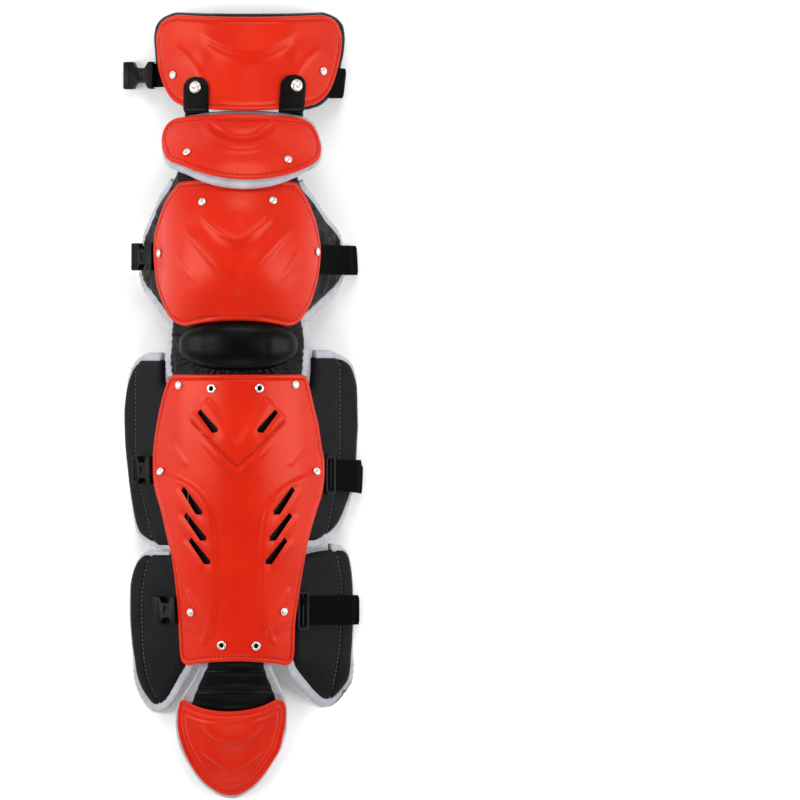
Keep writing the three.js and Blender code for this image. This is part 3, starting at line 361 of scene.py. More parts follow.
# %% [markdown]
# ### Moulded red
# The plates are injection moulded and satin: a bright red, a little deeper in patches, with a very
# fine texture from the mould. Their shine is tinted a warm orange, so that the flanks stay red
# where the softboxes light them, as they do on the real plastic.

# %% The red of the plates
def moulded_red():
    f = Finish("moulded_red_plastic")
    f.colour(f.noise(45, 3), "c41a06", "cf2209")
    f.roughness(f.noise(9, 4), 0.3, 0.4)
    f.relief(f.noise(0.9, 1), 0.02)
    f.relief(f.noise(14, 2), 0.12)
    return f.set(Specular_IOR_Level=0.42, Specular_Tint=(1, 0.5, 0.36, 1))


# %% [markdown]
# ### Leathers, nylon and silver cloth
# The wings are a charcoal synthetic leather with a fine pebble; bolster, tabs and ankle flap are a
# smoother black one. The knee pad and the edges of the other pads are a coated nylon that creases,
# and the bindings and the roll behind the band are a silver cloth with a visible weave.

# %% The soft finishes
def charcoal_leather():
    f = Finish("charcoal_leather")
    f.colour(f.noise(28, 4), "0a0b0b", "121413")
    f.roughness(f.noise(7, 3), 0.48, 0.66)
    f.relief(f.grain(1.3), 0.16)
    f.relief(f.noise(5, 3), 0.25)
    return f.set(Specular_IOR_Level=0.1)


def black_leather():
    f = Finish("black_leather")
    f.colour(f.noise(22, 3), "020202", "060708")
    f.roughness(f.noise(10, 3), 0.28, 0.42)
    f.relief(f.grain(0.9), 0.05)
    f.relief(f.noise(8, 3), 0.25)
    return f.set(Specular_IOR_Level=0.1)


def black_nylon():
    f = Finish("black_nylon")
    f.colour(f.noise(16, 4), "020203", "07080a")
    f.roughness(f.noise(6, 2), 0.34, 0.5)
    weave = f.mix("MULTIPLY", f.ribs(0.9, "X"), f.ribs(0.9, "Y"))
    f.relief(weave, 0.07)
    f.relief(f.noise(3.5, 3), 0.3)
    return f.set(Specular_IOR_Level=0.13)


def silver_cloth():
    f = Finish("silver_cloth")
    f.colour(f.noise(12, 4), "a3a2aa", "bbb9c1")
    f.roughness(f.noise(5, 2), 0.5, 0.7)
    weave = f.mix("MULTIPLY", f.ribs(1.1, "X"), f.ribs(1.1, "Y"))
    f.relief(weave, 0.12)
    f.relief(f.noise(4, 3), 0.35)
    return f.set(Metallic=0.0, Sheen_Weight=0.15, Sheen_Roughness=0.5, Specular_IOR_Level=0.4)


def black_webbing():
    f = Finish("black_webbing")
    f.colour(f.noise(4, 3), "010102", "040506")
    f.roughness(f.noise(3, 2), 0.75, 0.92)
    f.relief(f.ribs(2.1, "X", 0.4), 0.32)
    f.relief(f.ribs(1.2, "Y", 0.4), 0.12)
    return f.set(Specular_IOR_Level=0.06)


# %% [markdown]
# ### Buckles, metal and thread
# The buckles are moulded nylon with a matt, slightly mottled skin. Rivets, snaps and eyelets are
# nickel plate with faint turning marks. Threads take a twist that shows as a slanting rib.

# %% The small finishes
def black_plastic():
    f = Finish("black_plastic", on_cut=False)
    f.colour(f.noise(6, 3), "030304", "08090a")
    f.roughness(f.noise(3, 3), 0.36, 0.52)
    f.relief(f.noise(0.7, 2), 0.05)
    return f.set(Specular_IOR_Level=0.15)


def nickel():
    f = Finish("nickel", on_cut=False)
    f.colour(f.noise(2.2, 4), "d8d5cf", "e6e3dd")
    f.roughness(f.noise(1.2, 3, along=(1, 6, 1)), 0.24, 0.34)
    return f.set(Metallic=0.8)


def thread(name, dark, light):
    f = Finish(name, on_cut=False)
    f.colour(f.noise(1.5, 2), dark, light)
    f.roughness(f.noise(1, 2), 0.6, 0.8)
    f.relief(f.ribs(0.5, "DIAGONAL"), 0.08)
    return f.set(Specular_IOR_Level=0.3)


finishes = {
    "red_plastic": moulded_red(), "charcoal_leather": charcoal_leather(),
    "black_leather": black_leather(), "black_nylon": black_nylon(),
    "silver_fabric": silver_cloth(), "black_webbing": black_webbing(),
    "black_plastic": black_plastic(), "bright_metal": nickel(),
}
red_thread = thread("red_thread", "7c1008", "9c1a10")
grey_thread = thread("grey_thread", "50535a", "6d7077")
silver_thread = thread("silver_thread", "a7a6ae", "c9c8cf")
print(len(finishes), "finishes and three threads")

# %% [markdown]
# ## From points to a piece
# Each piece is a mesh made from a grid of points, because a grid keeps its rows along the cut of
# the cloth and takes folds and embossing by moving points. One helper turns points and faces into
# an object, rides it on the guard, and hides the solid that it stands for.

# %% Helper that makes a piece
triangles_made = {}


def make_piece(name, points, faces, finish, stands_for=(), cut=None, fine=None):
    """An object on the guard from points in millimetres; fine is a finish of its own."""
    mesh = bpy.data.meshes.new(name)
    mesh.from_pydata(((np.asarray(points) + shift) * mm).tolist(), [], faces)
    mesh.validate()
    if cut is not None:
        layer = mesh.uv_layers.new(name="cut")
        corner = np.empty(len(mesh.loops), int)
        mesh.loops.foreach_get("vertex_index", corner)
        layer.data.foreach_set("uv", (np.asarray(cut)[corner] * mm).ravel())
    mesh.materials.append(fine or finishes[finish])
    mesh.shade_smooth()
    piece = bpy.data.objects.new(name, mesh)
    bpy.context.scene.collection.objects.link(piece)
    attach(piece, "root")
    if stands_for:
        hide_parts(*([stands_for] if isinstance(stands_for, str) else stands_for))
    triangles_made[name] = sum(len(p.vertices) - 2 for p in mesh.polygons)
    return piece


def rim_of(grid):
    """The border of a grid, once round, starting at the end of its first row."""
    return np.concatenate([grid[0, ::-1], grid[1:, 0], grid[-1, 1:], grid[-2:0:-1, -1]])


def closed_grid(arc, y, outer, inner):
    """Points, faces and cut of a closed sheet between two layers over one grid."""
    rows, columns = arc.shape
    points = np.concatenate([place(arc, y, outer).reshape(-1, 3),
                             place(arc, y, inner).reshape(-1, 3)])
    points[:, 2] = np.maximum(points[:, 2], 0.0)
    index = np.arange(rows * columns).reshape(rows, columns)
    back = rows * columns
    a, b, c, d = index[:-1, :-1], index[:-1, 1:], index[1:, :-1], index[1:, 1:]
    front_faces = np.stack([a, c, d, b], -1).reshape(-1, 4)
    back_faces = front_faces[:, ::-1] + back
    border = rim_of(index)
    after = np.roll(border, -1)
    wall = np.stack([after, border, back + border, back + after], -1)
    faces = np.concatenate([front_faces, back_faces, wall]).tolist()
    flat = np.stack([arc, y], -1).reshape(-1, 2)
    return points, faces, np.concatenate([flat, flat])


def soft(t):
    t = np.clip(t, 0, 1)
    return t * t * (3 - 2 * t)


def step(distance, width):
    """Rises from 0 to 1 over a width, half way at 0."""
    return soft(distance / width + 0.5)


def ridge(distance, width):
    return np.exp(-((distance / width) ** 2))


def quarter_turn(edge, width):
    """Falls from 1 at the edge to 0 a width inside it, along a quarter circle."""
    return 1 - np.sqrt(1 - np.clip(1 - edge / width, 0, 1) ** 2)


def to_line(x, y, corners):
    """Distance from points to a line through corners."""
    corners = np.asarray(corners, float)
    nearest = np.full(np.shape(x), np.inf)
    for (ax, ay), (bx, by) in zip(corners[:-1], corners[1:]):
        dx, dy = bx - ax, by - ay
        t = np.clip(((x - ax) * dx + (y - ay) * dy) / max(dx * dx + dy * dy, 1e-9), 0, 1)
        nearest = np.minimum(nearest, np.hypot(x - ax - t * dx, y - ay - t * dy))
    return nearest


def edge_distance(arc, y, stretch=1.1):
    """Millimetres from each grid point to the edge of its sheet."""
    flat = np.stack([arc * stretch, y], -1)
    border = rim_of(flat)
    return to_line(flat[..., 0], flat[..., 1], np.vstack([border, border[:1]]))


def soft_corners(arc, y, reach):
    """Round the border of a grid over reach millimetres and spread the shift inside."""
    walk_step, fade_cells = 0.5, 6.0
    rows, columns = arc.shape
    index = np.arange(rows * columns).reshape(rows, columns)
    ring = np.concatenate([index[0], index[1:, -1], index[-1, -2::-1], index[-2:0:-1, 0]])
    line = np.stack([arc.ravel()[ring], y.ravel()[ring]], -1)
    closed = np.vstack([line, line[:1]])
    length = np.concatenate([[0], np.cumsum(np.hypot(*np.diff(closed, axis=0).T))])
    even = np.linspace(0, length[-1], int(length[-1] / walk_step), endpoint=False)
    walk = np.stack([np.interp(even, length, closed[:, k]) for k in (0, 1)], -1)
    span = 2 * int(reach / walk_step) + 1
    kernel = np.hanning(span + 2)[1:-1]
    kernel /= kernel.sum()
    wrapped = np.vstack([walk[-span:], walk, walk[:span]])
    round_walk = np.stack([np.convolve(wrapped[:, k], kernel, "same")[span:-span]
                           for k in (0, 1)], -1)
    back = np.stack([np.interp(length[:-1], even, round_walk[:, k], period=length[-1])
                     for k in (0, 1)], -1)
    shifted = np.zeros((rows * columns, 2))
    shifted[ring] = back - line
    shifted = shifted.reshape(rows, columns, 2)
    v, u = np.meshgrid(np.linspace(0, 1, rows), np.linspace(0, 1, columns), indexing="ij")
    top, foot = np.exp(-v * rows / fade_cells), np.exp(-(1 - v) * rows / fade_cells)
    left, right = np.exp(-u * columns / fade_cells), np.exp(-(1 - u) * columns / fade_cells)
    moved = (shifted[:1] * top[..., None] + shifted[-1:] * foot[..., None]
             + shifted[:, :1] * left[..., None] + shifted[:, -1:] * right[..., None])
    for i, j, fall in ((0, 0, top * left), (0, -1, top * right), (-1, 0, foot * left),
                       (-1, -1, foot * right)):
        moved = moved - shifted[i, j] * fall[..., None]
    return arc + moved[..., 0], y + moved[..., 1]


def noise_field(x, y, size, seed):
    """Smooth noise from -1 to 1 with spots of about size millimetres."""
    lattice = np.random.default_rng(seed).uniform(-1, 1, (64, 64))
    gx, gy = x / size + 1000, y / size + 1000
    i, j = np.floor(gx).astype(int), np.floor(gy).astype(int)
    fx, fy = soft(gx - i), soft(gy - j)
    i, j, k, m = i % 64, j % 64, (i + 1) % 64, (j + 1) % 64
    low = lattice[i, j] * (1 - fx) + lattice[k, j] * fx
    high = lattice[i, m] * (1 - fx) + lattice[k, m] * fx
    return low * (1 - fy) + high * fy


def creases(x, y, size, seed):
    """Crumpled cloth: sharp valleys between soft swellings, from 0 to 1."""
    bent_x = x + 0.5 * size * noise_field(x, y, size, seed + 1)
    bent_y = y + 0.5 * size * noise_field(x, y, size, seed + 2)
    return 1 - np.abs(noise_field(bent_x, bent_y, size, seed))


print("helpers ready")

# %% [markdown]
# ## The moulded plates
# A real plate is one moulding, 3 mm thick, with panels and creases pressed into it and a rolled
# lip. The lip comes from the distance to the edge: near it the front turns down and the back turns
# up in quarter rounds. The panels are sums of soft steps and ridges, told in millimetres across
# from the middle and down from the top, which is easy to compare with a picture of the plate.

# %% Plates: lip, grid and surface
lip_radius, back_radius, groove_inset = 1.5, 1.2, 4.7


def lip(edge):
    """Quarter round at the edge, a raised lip and the stitching groove inside it."""
    turn = lip_radius * quarter_turn(edge, lip_radius)
    return 0.35 * step(3.2 - edge, 1.2) - 0.55 * ridge(edge - groove_inset, 0.8) - turn


def seen_from_front(form, arc, y):
    """Across from the plate's middle line and down from its top."""
    x = place(arc, y, plate_outer)[..., 0] - form["centre"]
    return x, form["top"] - y


band = outlines["band_pad"]
band_thickness = 8


def band_under(y):
    """The band pad climbs from the thigh over the top of the knee plate."""
    share = np.clip((band["top"] - y) / (band["length"] * 0.9), 0, 1)
    low, high = 3 * fit_gap + web_thickness, plate_outer + fit_gap + 1.5
    return low + (high - low) * soft(share)


knee = outlines["knee_plate"]


def knee_bulge(arc, y):
    across = (arc / (0.92 * knee["half"])) ** 2
    up = ((y - knee["top"] + knee["length"] / 2) / (0.45 * knee["length"])) ** 2
    return knee_rise * np.clip(1 - across, 0, 1) * np.clip(1 - up, 0, 1)


# %% [markdown]
# ### Thigh plate and band plate
# Both have a smile pressed into the middle: the field above it stands proud and drops in two small
# steps, and below it a flat panel is sunk between soft shoulders. Two slanting creases run out to
# the rivets.

# %% Relief of the thigh plate and the band plate
def thigh_relief(arc, y):
    x, down = seen_from_front(outlines["thigh_plate"], arc, y)
    across = np.abs(x)
    above = 37 - 17 * (across / 43.5) ** 2 - down
    ends = soft((49 - across) / 18)
    lip_of_smile = 1.9 * step(above, 2.2) * np.exp(-np.clip(above, 0, None) / 13)
    second_step = 1.1 * step(above + 4.6, 2.0) * np.exp(-np.clip(above + 4.6, 0, None) / 10)
    panel = step(37 - across + 0.1 * down, 13) * step(-above - 7, 9)
    crease = ridge(to_line(across, down, [(66, 33), (56, 42), (48, 53), (42, 66)]), 2.6)
    shoulder = step(across - 40 + 0.35 * (down - 36), 16) * step(down - 30, 20)
    return (lip_of_smile + second_step) * ends - 1.5 * panel + 0.9 * crease + 0.7 * shoulder


def band_relief(arc, y):
    x, down = seen_from_front(outlines["band_plate"], arc, y)
    across = np.abs(x - 2)
    bowl = 12 * (across / 29) ** 2
    ends = soft((42 - across) / 18)
    upper = 3.3 * ridge(down + bowl * 0.7 - 9, 6.5)
    crease = -2.3 * ridge(down + bowl - 20, 2.4)
    lower = 3.0 * ridge(down + bowl * 0.9 - 28, 4.4)
    panel = -0.9 * step(34 - across, 14) * step(down - 33, 8)
    slant = 0.8 * ridge(to_line(across, down, [(62, 14), (46, 23), (30, 38)]), 2.6)
    return (upper + crease + lower) * ends + panel + slant


# %% [markdown]
# ### Knee plate
# The knee plate is a cup. A round boss sits at the top, under it a short V lip, then a diamond
# that runs down to a point between two cheeks, with a short ridge on each cheek.

# %% Relief of the knee plate
def knee_relief(arc, y):
    x, down = seen_from_front(knee, arc, y)
    across = np.abs(x - 1)
    boss = 3.4 * ridge(np.hypot(across / 1.25, down - 24), 21)
    above = 57.8 - 19.7 * (across / 28) ** 1.5 - down
    ends = soft((33 - across) / 7)
    smile = 2.1 * step(above, 1.8) * np.exp(-np.clip(above - 2.5, 0, None) / 6) * ends
    to_edge = (106 - 1.27 * across - down) / math.hypot(1, 1.27)
    diamond = 2.5 * step(to_edge, 3) * np.exp(-np.clip(to_edge, 0, None) / 15)
    diamond = diamond * step(down - 47, 14) * soft((58 - across) / 12)
    sunk = -0.8 * step(to_edge - 11, 9) * step(-above - 5, 5) * ends
    cheek = 1.8 * ridge(np.hypot(across - 37, (down - 102) * 0.9), 21)
    mark = 1.1 * ridge(to_line(across, down, [(52, 70), (45, 84), (39, 93)]), 2.4)
    mark = mark * soft((97 - down) / 14)
    return boss + smile + diamond + sunk + cheek + mark


# %% [markdown]
# ### Shin plate
# The longest plate carries most of the pressing: a pointed V panel above, a smaller echo of it
# below, and on each side a field with three air slots that ends in an arrow near the ankle. The
# column between the fields stays smooth so that a ball glances off.

# %% Relief of the shin plate
shin = outlines["shin_plate"]
slot_length, slot_width = 29, 7
# Columns: across and down from the top middle in shares, lean in turns, share of the slot length
slots = [(0.34, 0.16, 0.15, 0.95), (0.53, 0.433, 0.162, 1.1),
         (0.49, 0.522, 0.155, 1.13), (0.44, 0.605, 0.155, 1.07)]


def shin_relief(arc, y):
    x, down = seen_from_front(shin, arc, y)
    across = np.abs(x)
    slope = 1.02
    outer = (0.313 * shin["length"] - slope * across - down) / math.hypot(1, slope)
    inner = (0.234 * shin["length"] - 1.49 * across - down) / math.hypot(1, 1.49)
    legs = step((down - 23 - 1.19 * (across - 28)) / 1.55, 4)
    panel = 3.2 * step(outer, 1.6) * step(-inner, 5) * legs - 1.2 * ridge(outer + 1.4, 1.2) * legs
    echo_edge = outer + 9.5
    echo = 2.5 * step(echo_edge, 1.6) * np.exp(-np.clip(echo_edge, 0, None) / 9)
    echo = echo * soft((40 - across) / 26) * step(-outer, 2.6)
    # Across and down of the line where the side fields begin
    down_line = [88, 96, 100, 105, 114, 126, 137, 160, 200, 246]
    column = np.interp(down, down_line, [80, 61, 53, 44, 34, 27, 23.5, 21, 20, 24])
    lean_of_line = np.interp(down, down_line, [2.4, 2.2, 1.9, 1.5, 0.8, 0.45, 0.2, 0.06, 0, 0])
    tail = 0.89 * shin["length"] - 0.45 * np.abs(across - 28)
    field = (step((across - column) / np.hypot(1, lean_of_line), 4.5) * step((tail - down), 12))
    brow = 0.7 * ridge(to_line(across, down, [(80, 52), (62, 68), (50, 84)]), 2.4)
    arrow = 0.9 * ridge(to_line(across, down, [(46, 206), (27, 240), (33, 253)]), 2.3)
    marks = 0
    for share_across, share_down, lean, share in slots:
        middle = (share_across * shin["half"], share_down * shin["length"])
        turn = lean * 2 * math.pi
        along = (across - middle[0]) * math.cos(turn) + (middle[1] - down) * math.sin(turn)
        off = -(across - middle[0]) * math.sin(turn) + (middle[1] - down) * math.cos(turn)
        half = share * slot_length / 2
        past_end = np.clip(np.abs(along) - half * 0.8, 0, None)
        marks = marks - 1.1 * ridge(np.hypot(past_end * 0.7, off), 4.6)
        marks = marks + 0.9 * ridge(np.hypot(past_end * 0.7, off + 6.3), 1.9)
    return panel + echo + 2.6 * field + brow + arrow + marks


def toe_relief(arc, y, edge):
    x, down = seen_from_front(outlines["toe_plate"], arc, y)
    across = np.abs(x)
    above = 43 - 11 * (across / 25) ** 2 - down
    smile = 2.4 * step(above, 2.2) * np.exp(-np.clip(above, 0, None) / 8) * soft((32 - across) / 10)
    low = 74 - 0.72 * across - down
    point = 2.2 * step(low, 2.8) * np.exp(-np.clip(low, 0, None) / 10) * soft((34 - across) / 10)
    return 1.2 * step(edge - 6.2, 2.0) + 1.1 * step(edge - 11.5, 2.2) + smile + point


# %% [markdown]
# ### Building the plates
# Each plate is one closed grid with its lip. The air slots and the eyelet holes are cut with the
# exact boolean, because a grid would leave stepped edges there.

# %% Surfaces of the plates, which the rivets ask for too
lining_thin, flap_thickness = 3, 3.5
toe_under = lining_thin + flap_thickness + 3 * fit_gap
plate_back = {
    "thigh_plate": lambda arc, y: plate_inner + 0 * arc,
    "band_plate": lambda arc, y: band_under(y) + band_thickness + 3 * fit_gap,
    "knee_plate": lambda arc, y: plate_inner + fit_gap + knee_bulge(arc, y),
    "shin_plate": lambda arc, y: plate_inner + 0 * arc,
    "toe_plate": lambda arc, y: toe_under + 0 * arc,
}
plate_relief = {"thigh_plate": thigh_relief, "band_plate": band_relief,
                "knee_plate": knee_relief, "shin_plate": shin_relief}
tab_over = plate_outer + fit_gap


def surface_of(plate, arc, y):
    if plate == "tab":
        return tab_over + web_thickness + 0 * arc
    return plate_back[plate](arc, y) + plate_thickness + plate_relief[plate](arc, y)


# %% The plates themselves
seen_at = {name: plate_outer for name in plate_back}
seen_at["toe_plate"] = toe_under
seen_at["band_plate"] = lambda y: plate_back["band_plate"](0, y) + plate_thickness
plate_cells = {"thigh_plate": (110, 70), "band_plate": (100, 56), "knee_plate": (110, 110),
               "shin_plate": (120, 210), "toe_plate": (90, 90)}
plate_grids = {}
plates = {}
for name, (across_cells, along_cells) in plate_cells.items():
    form = outlines[name]
    u, v = np.meshgrid(2 * eased(across_cells, 0.6) - 1, eased(along_cells, 0.75))
    arc, y = on_outline(form, u, v, seen_at[name])
    arc, y = soft_corners(arc, y, {"band_plate": 7, "toe_plate": 8}.get(name, 4))
    edge = edge_distance(arc, y)
    back = plate_back[name](arc, y)
    pressed = toe_relief(arc, y, edge) if name == "toe_plate" else plate_relief[name](arc, y)
    quiet = soft((edge - 3.5) / 5)
    front = back + plate_thickness + pressed * (1 if name == "toe_plate" else quiet) + lip(edge)
    rounded_back = back + back_radius * quarter_turn(edge, back_radius)
    points, faces, cut = closed_grid(arc, y, front, rounded_back)
    plates[name] = make_piece(f"{name}_moulded", points, faces, "red_plastic", name, cut)
    plate_grids[name] = (arc, y, front)
    print(name, triangles_made[f"{name}_moulded"], "triangles")

# %% Where fittings stand on a plate
# Columns: name, plate, across as a share of the half width, share of the length, kind
fittings = [
    ("thigh_rivet_left", "thigh_plate", -0.8, 0.65, "rivet"),
    ("thigh_rivet_right", "thigh_plate", 0.79, 0.61, "rivet"),
    ("tab_snap_left", "thigh_plate", -0.55, 0.79, "snap"),
    ("tab_snap_right", "thigh_plate", 0.5, 0.77, "snap"),
    ("band_rivet_left", "band_plate", -0.66, 0.71, "rivet"),
    ("band_rivet_right", "band_plate", 0.6, 0.86, "rivet"),
    ("knee_rivet_top_left", "knee_plate", -0.38, 0.14, "rivet"),
    ("knee_rivet_top_right", "knee_plate", 0.42, 0.13, "rivet"),
    ("knee_rivet_side_left", "knee_plate", -0.92, 0.49, "rivet"),
    ("knee_rivet_side_right", "knee_plate", 0.94, 0.48, "rivet"),
    ("shin_rivet_top_left", "shin_plate", -0.68, 0.037, "rivet"),
    ("shin_rivet_top_right", "shin_plate", 0.66, 0.035, "rivet"),
    ("shin_rivet_side_left", "shin_plate", -0.88, 0.333, "rivet"),
    ("shin_rivet_side_right", "shin_plate", 0.885, 0.332, "rivet"),
    ("shin_rivet_low_left", "shin_plate", -0.53, 0.815, "rivet"),
    ("shin_rivet_low_right", "shin_plate", 0.51, 0.812, "rivet"),
    ("shin_eyelet_top_left", "shin_plate", -0.3, 0.048, "eyelet"),
    ("shin_eyelet_top_right", "shin_plate", 0.25, 0.047, "eyelet"),
    ("shin_eyelet_low_left", "shin_plate", -0.19, 0.927, "eyelet"),
    ("shin_eyelet_low_right", "shin_plate", 0.205, 0.929, "eyelet"),
]


def spot_on(plate, u, v, on=None):
    """Point and outward direction on a plate, in metres in the frame."""
    form = outlines[plate]
    x = form["centre"] + form["half"] * u
    y = form["top"] - form["length"] * v
    reach = 2.5

    def at(dx, dy):
        seen = seen_at[plate](y) if callable(seen_at[plate]) else seen_at[plate]
        arc = arc_at(x + dx, y + dy, seen)
        return place(arc, y + dy, surface_of(on or plate, arc, y + dy))

    normal = np.cross(at(reach, 0) - at(-reach, 0), at(0, reach) - at(0, -reach))
    return Vector((at(0, 0) + shift) * mm), Vector(normal).normalized()


def bake(piece):
    """Give the piece the mesh that its modifiers make, and take them off."""
    baked = bpy.data.meshes.new_from_object(
        piece.evaluated_get(bpy.context.evaluated_depsgraph_get()))
    piece.modifiers.clear()
    piece.data = baked
    return piece


def stand(piece, turn):
    """Move a piece that was made round the origin by a matrix in metres."""
    for vertex in piece.data.vertices:
        vertex.co = turn @ (vertex.co - Vector(shift * mm))


def cut_from(piece, tools):
    """Cut every tool from the piece with the exact boolean."""
    for tool in tools:
        tool.hide_render = True
    group = bpy.data.collections.new(f"{piece.name}_cuts")
    bpy.context.scene.collection.children.link(group)
    for tool in tools:
        group.objects.link(tool)
    cutter = piece.modifiers.new("cut", "BOOLEAN")
    cutter.operation, cutter.solver, cutter.operand_type = "DIFFERENCE", "EXACT", "COLLECTION"
    cutter.collection = group
    bake(piece)
    for tool in tools:
        bpy.data.objects.remove(tool)
    bpy.data.collections.remove(group)
    piece.data.set_sharp_from_angle(angle=math.radians(42))
    return piece


def prism(name, outline, low, high):
    """Straight prism over a flat outline in metres."""
    count = len(outline)
    points = [(x, y, z) for z in (low, high) for x, y in outline]
    faces = [list(range(count))[::-1], list(range(count, 2 * count))]
    faces += [[i, (i + 1) % count, count + (i + 1) % count, count + i] for i in range(count)]
    mesh = bpy.data.meshes.new(name)
    mesh.from_pydata(points, [], faces)
    tool = bpy.data.objects.new(name, mesh)
    bm = bmesh.new()
    bm.from_mesh(mesh)
    bmesh.ops.recalc_face_normals(bm, faces=bm.faces)
    bm.to_mesh(mesh)
    bm.free()
    return tool


# %% Air slots and eyelet holes of the shin plate
def rounded(corners, radius, steps=5):
    """The corners of an outline turned into small arcs."""
    made = []
    count = len(corners)
    for k in range(count):
        before, here, after = (Vector(corners[(k + d) % count]) for d in (-1, 0, 1))
        into, out = (before - here).normalized(), (after - here).normalized()
        start, end = here + into * radius, here + out * radius
        for i in range(steps + 1):
            t = i / steps
            made.append(((1 - t) ** 2 * start + 2 * t * (1 - t) * here + t**2 * end)[:])
    return made


# Slot corners in half lengths and half widths; radii in millimetres. A cut reaches from under the
# plate to over it, in metres.
slot_corners = [(-1, 0.4), (-0.8, 1), (1, 0.2), (0.9, -1), (-0.8, -1)]
slot_corner_radius, eyelet_radius, cut_low, cut_high = 0.7, 2.7, 0.02, 0.2
mirrored = Matrix(((-1, 0), (0, 1)))
tools = []
for share_across, share_down, lean, share in slots:
    corners = [(a * slot_length / 2 * share, b * slot_width / 2) for a, b in slot_corners]
    for side in (-1, 1):
        turn = Matrix.Rotation(side * lean * 2 * math.pi, 2)
        turn = turn @ mirrored if side < 0 else turn
        middle = Vector((shin["centre"] + side * share_across * shin["half"] + shift[0],
                         shin["top"] - share_down * shin["length"] + shift[1]))
        outline = [(middle + turn @ Vector(corner)) * mm
                   for corner in rounded(corners, slot_corner_radius)]
        tools.append(prism("slot_cut", [tuple(p) for p in outline], cut_low, cut_high))
for name, plate, u, v, kind in fittings:
    if kind == "eyelet":
        spot, _ = spot_on(plate, u, v)
        hole = eyelet_radius * mm
        circle = [(spot.x + hole * math.cos(a), spot.y + hole * math.sin(a))
                  for a in np.linspace(0, 2 * math.pi, 24, endpoint=False)]
        tools.append(prism("eyelet_cut", circle, cut_low, cut_high))
cut_from(plates["shin_plate"], tools)
print("shin plate", len(plates["shin_plate"].data.polygons), "faces after", len(tools), "cuts")

# %% [markdown]
# ## The pads
# Foam pads swell: full in the middle, rounding over near the edge and tucked in where the back
# lies on the leg. The round comes from the distance to the edge, the seams are narrow valleys, and
# the creases of the nylon are sharp folds that grow towards the gathered edges.

# %% Helper for a soft pad between two layers
# Columns: layer at which the outline was seen, what the pad lies beside
pads = {
    "thigh_pad": (6, ""), "knee_pad": (6, ""),
    "upper_wing_left": (6, "left"), "upper_wing_right": (6, "right"),
    "lower_wing_left": (6, "left"), "lower_wing_right": (6, "right"),
    "shin_pad": (pad_thickness, "core"), "band_pad": (lambda y: band_under(y) + 4.8, ""),
    "bolster": (plate_inner + 2.4, ""), "foot_lining": (lining_thin, ""),
    "ankle_flap": (toe_under, ""),
}


def pad_grid(name, across_cells, along_cells, ease=0.6):
    form = outlines[name]
    seen, beside = pads[name]
    u, v = np.meshgrid(2 * eased(across_cells, ease) - 1, eased(along_cells, ease))
    arc, y = on_outline(form, u, v, seen, beside)
    reach = {"band_pad": 7, "lower_wing_left": 6, "lower_wing_right": 6, "foot_lining": 6}
    arc, y = soft_corners(arc, y, reach.get(name, 0.5 if beside else 3))
    return arc, y, edge_distance(arc, y, 1.0), u, v


def round_over(edge, width, low):
    """Share of the full height near an edge: a quarter round that starts at low."""
    inside = np.clip(edge / width, 0, 1)
    return low + (1 - low) * np.sqrt(1 - (1 - inside) ** 2)


def tucked(edge, height=2.2, width=5):
    """How far the back of a pad turns up towards its edge."""
    return height * quarter_turn(edge, width)


def soft_piece(name, arc, y, outer, inner, finish, ending):
    """A padded sheet between two layers, in place of the solid of the same name."""
    points, faces, cut = closed_grid(arc, y, outer, inner)
    piece = make_piece(f"{name}_{ending}", points, faces, finish, name, cut)
    print(piece.name, triangles_made[piece.name], "triangles")
    return piece


def core_step(arc):
    """The thicker core of a pad, which the plates lie on."""
    return core_rise * soft((0.8 * core_arc - np.abs(arc)) / 8)


# %% Thigh pad and shin pad
arc, y, edge, u, v = pad_grid("thigh_pad", 80, 44)
swell = pad_thickness * round_over(edge, 6, 0.35) + core_step(arc) - 0.25
swell = swell - 0.25 * creases(arc, y, 11, 5) * soft((10 - edge) / 8)
soft_piece("thigh_pad", arc, y, swell, tucked(edge), "black_nylon", "nylon")

arc, y, edge, u, v = pad_grid("shin_pad", 40, 90, 0.3)
flat_top = pad_thickness + core_rise - fit_gap - 0.3 * creases(arc, y, 14, 15)
soft_piece("shin_pad", arc, y, flat_top - tucked(edge, 1.5, 3), tucked(edge, 1, 3),
           "black_nylon", "nylon")

# %% [markdown]
# ### Knee pad
# The knee pad is a soft nylon bag under the cup, gathered into a neck behind the bolster. Its
# creases fan out from the bolster and run in from the bound edges. They are moved into the mesh
# rather than painted as bump, because the light catches them from every side.

# %% The knee pad with its gathered neck
arc, y, edge, u, v = pad_grid("knee_pad", 130, 190)
usual = 0.93 * pad_thickness * round_over(edge, 7, 0.4) + core_step(arc) + 0.85 * knee_bulge(arc, y)
under_band = band_under(y) - fit_gap
form_fit = np.where(y > knee["top"] - 12, np.minimum(usual, under_band), usual)
bolster = outlines["bolster"]
bolster_middle = bolster["top"] - bolster["length"] / 2
from_bolster = np.hypot((arc + 2) / 50, (y - bolster_middle) / 22) - 1
turn_round = np.arctan2((y - bolster_middle) * 1.6, arc + 2)
fan = (np.sin(46 * turn_round + 3 * noise_field(arc, y, 18, 3))
       * np.exp(-np.clip(from_bolster, 0, None) * 3.2)) * (y < 90)
edge_gathers = np.sin(2 * math.pi * y / 6.5 + 2.5 * noise_field(arc, y, 20, 7))
edge_gathers = edge_gathers * np.exp(-edge / 7) * soft((150 - y) / 20 + 1)
crumple = creases(arc, y, 17, 21) + 0.5 * creases(arc, y, 8, 31)
beyond_plate = soft((np.abs(arc) - 52) / 14) + soft((86 - y) / 10)
lumps = (1.0 * fan + 0.6 * edge_gathers
         + 2.3 * (crumple - 1.15) * np.clip(beyond_plate, 0, 1) * soft(edge / 5))
room = np.where(y > 232, 0.15, 1.0)
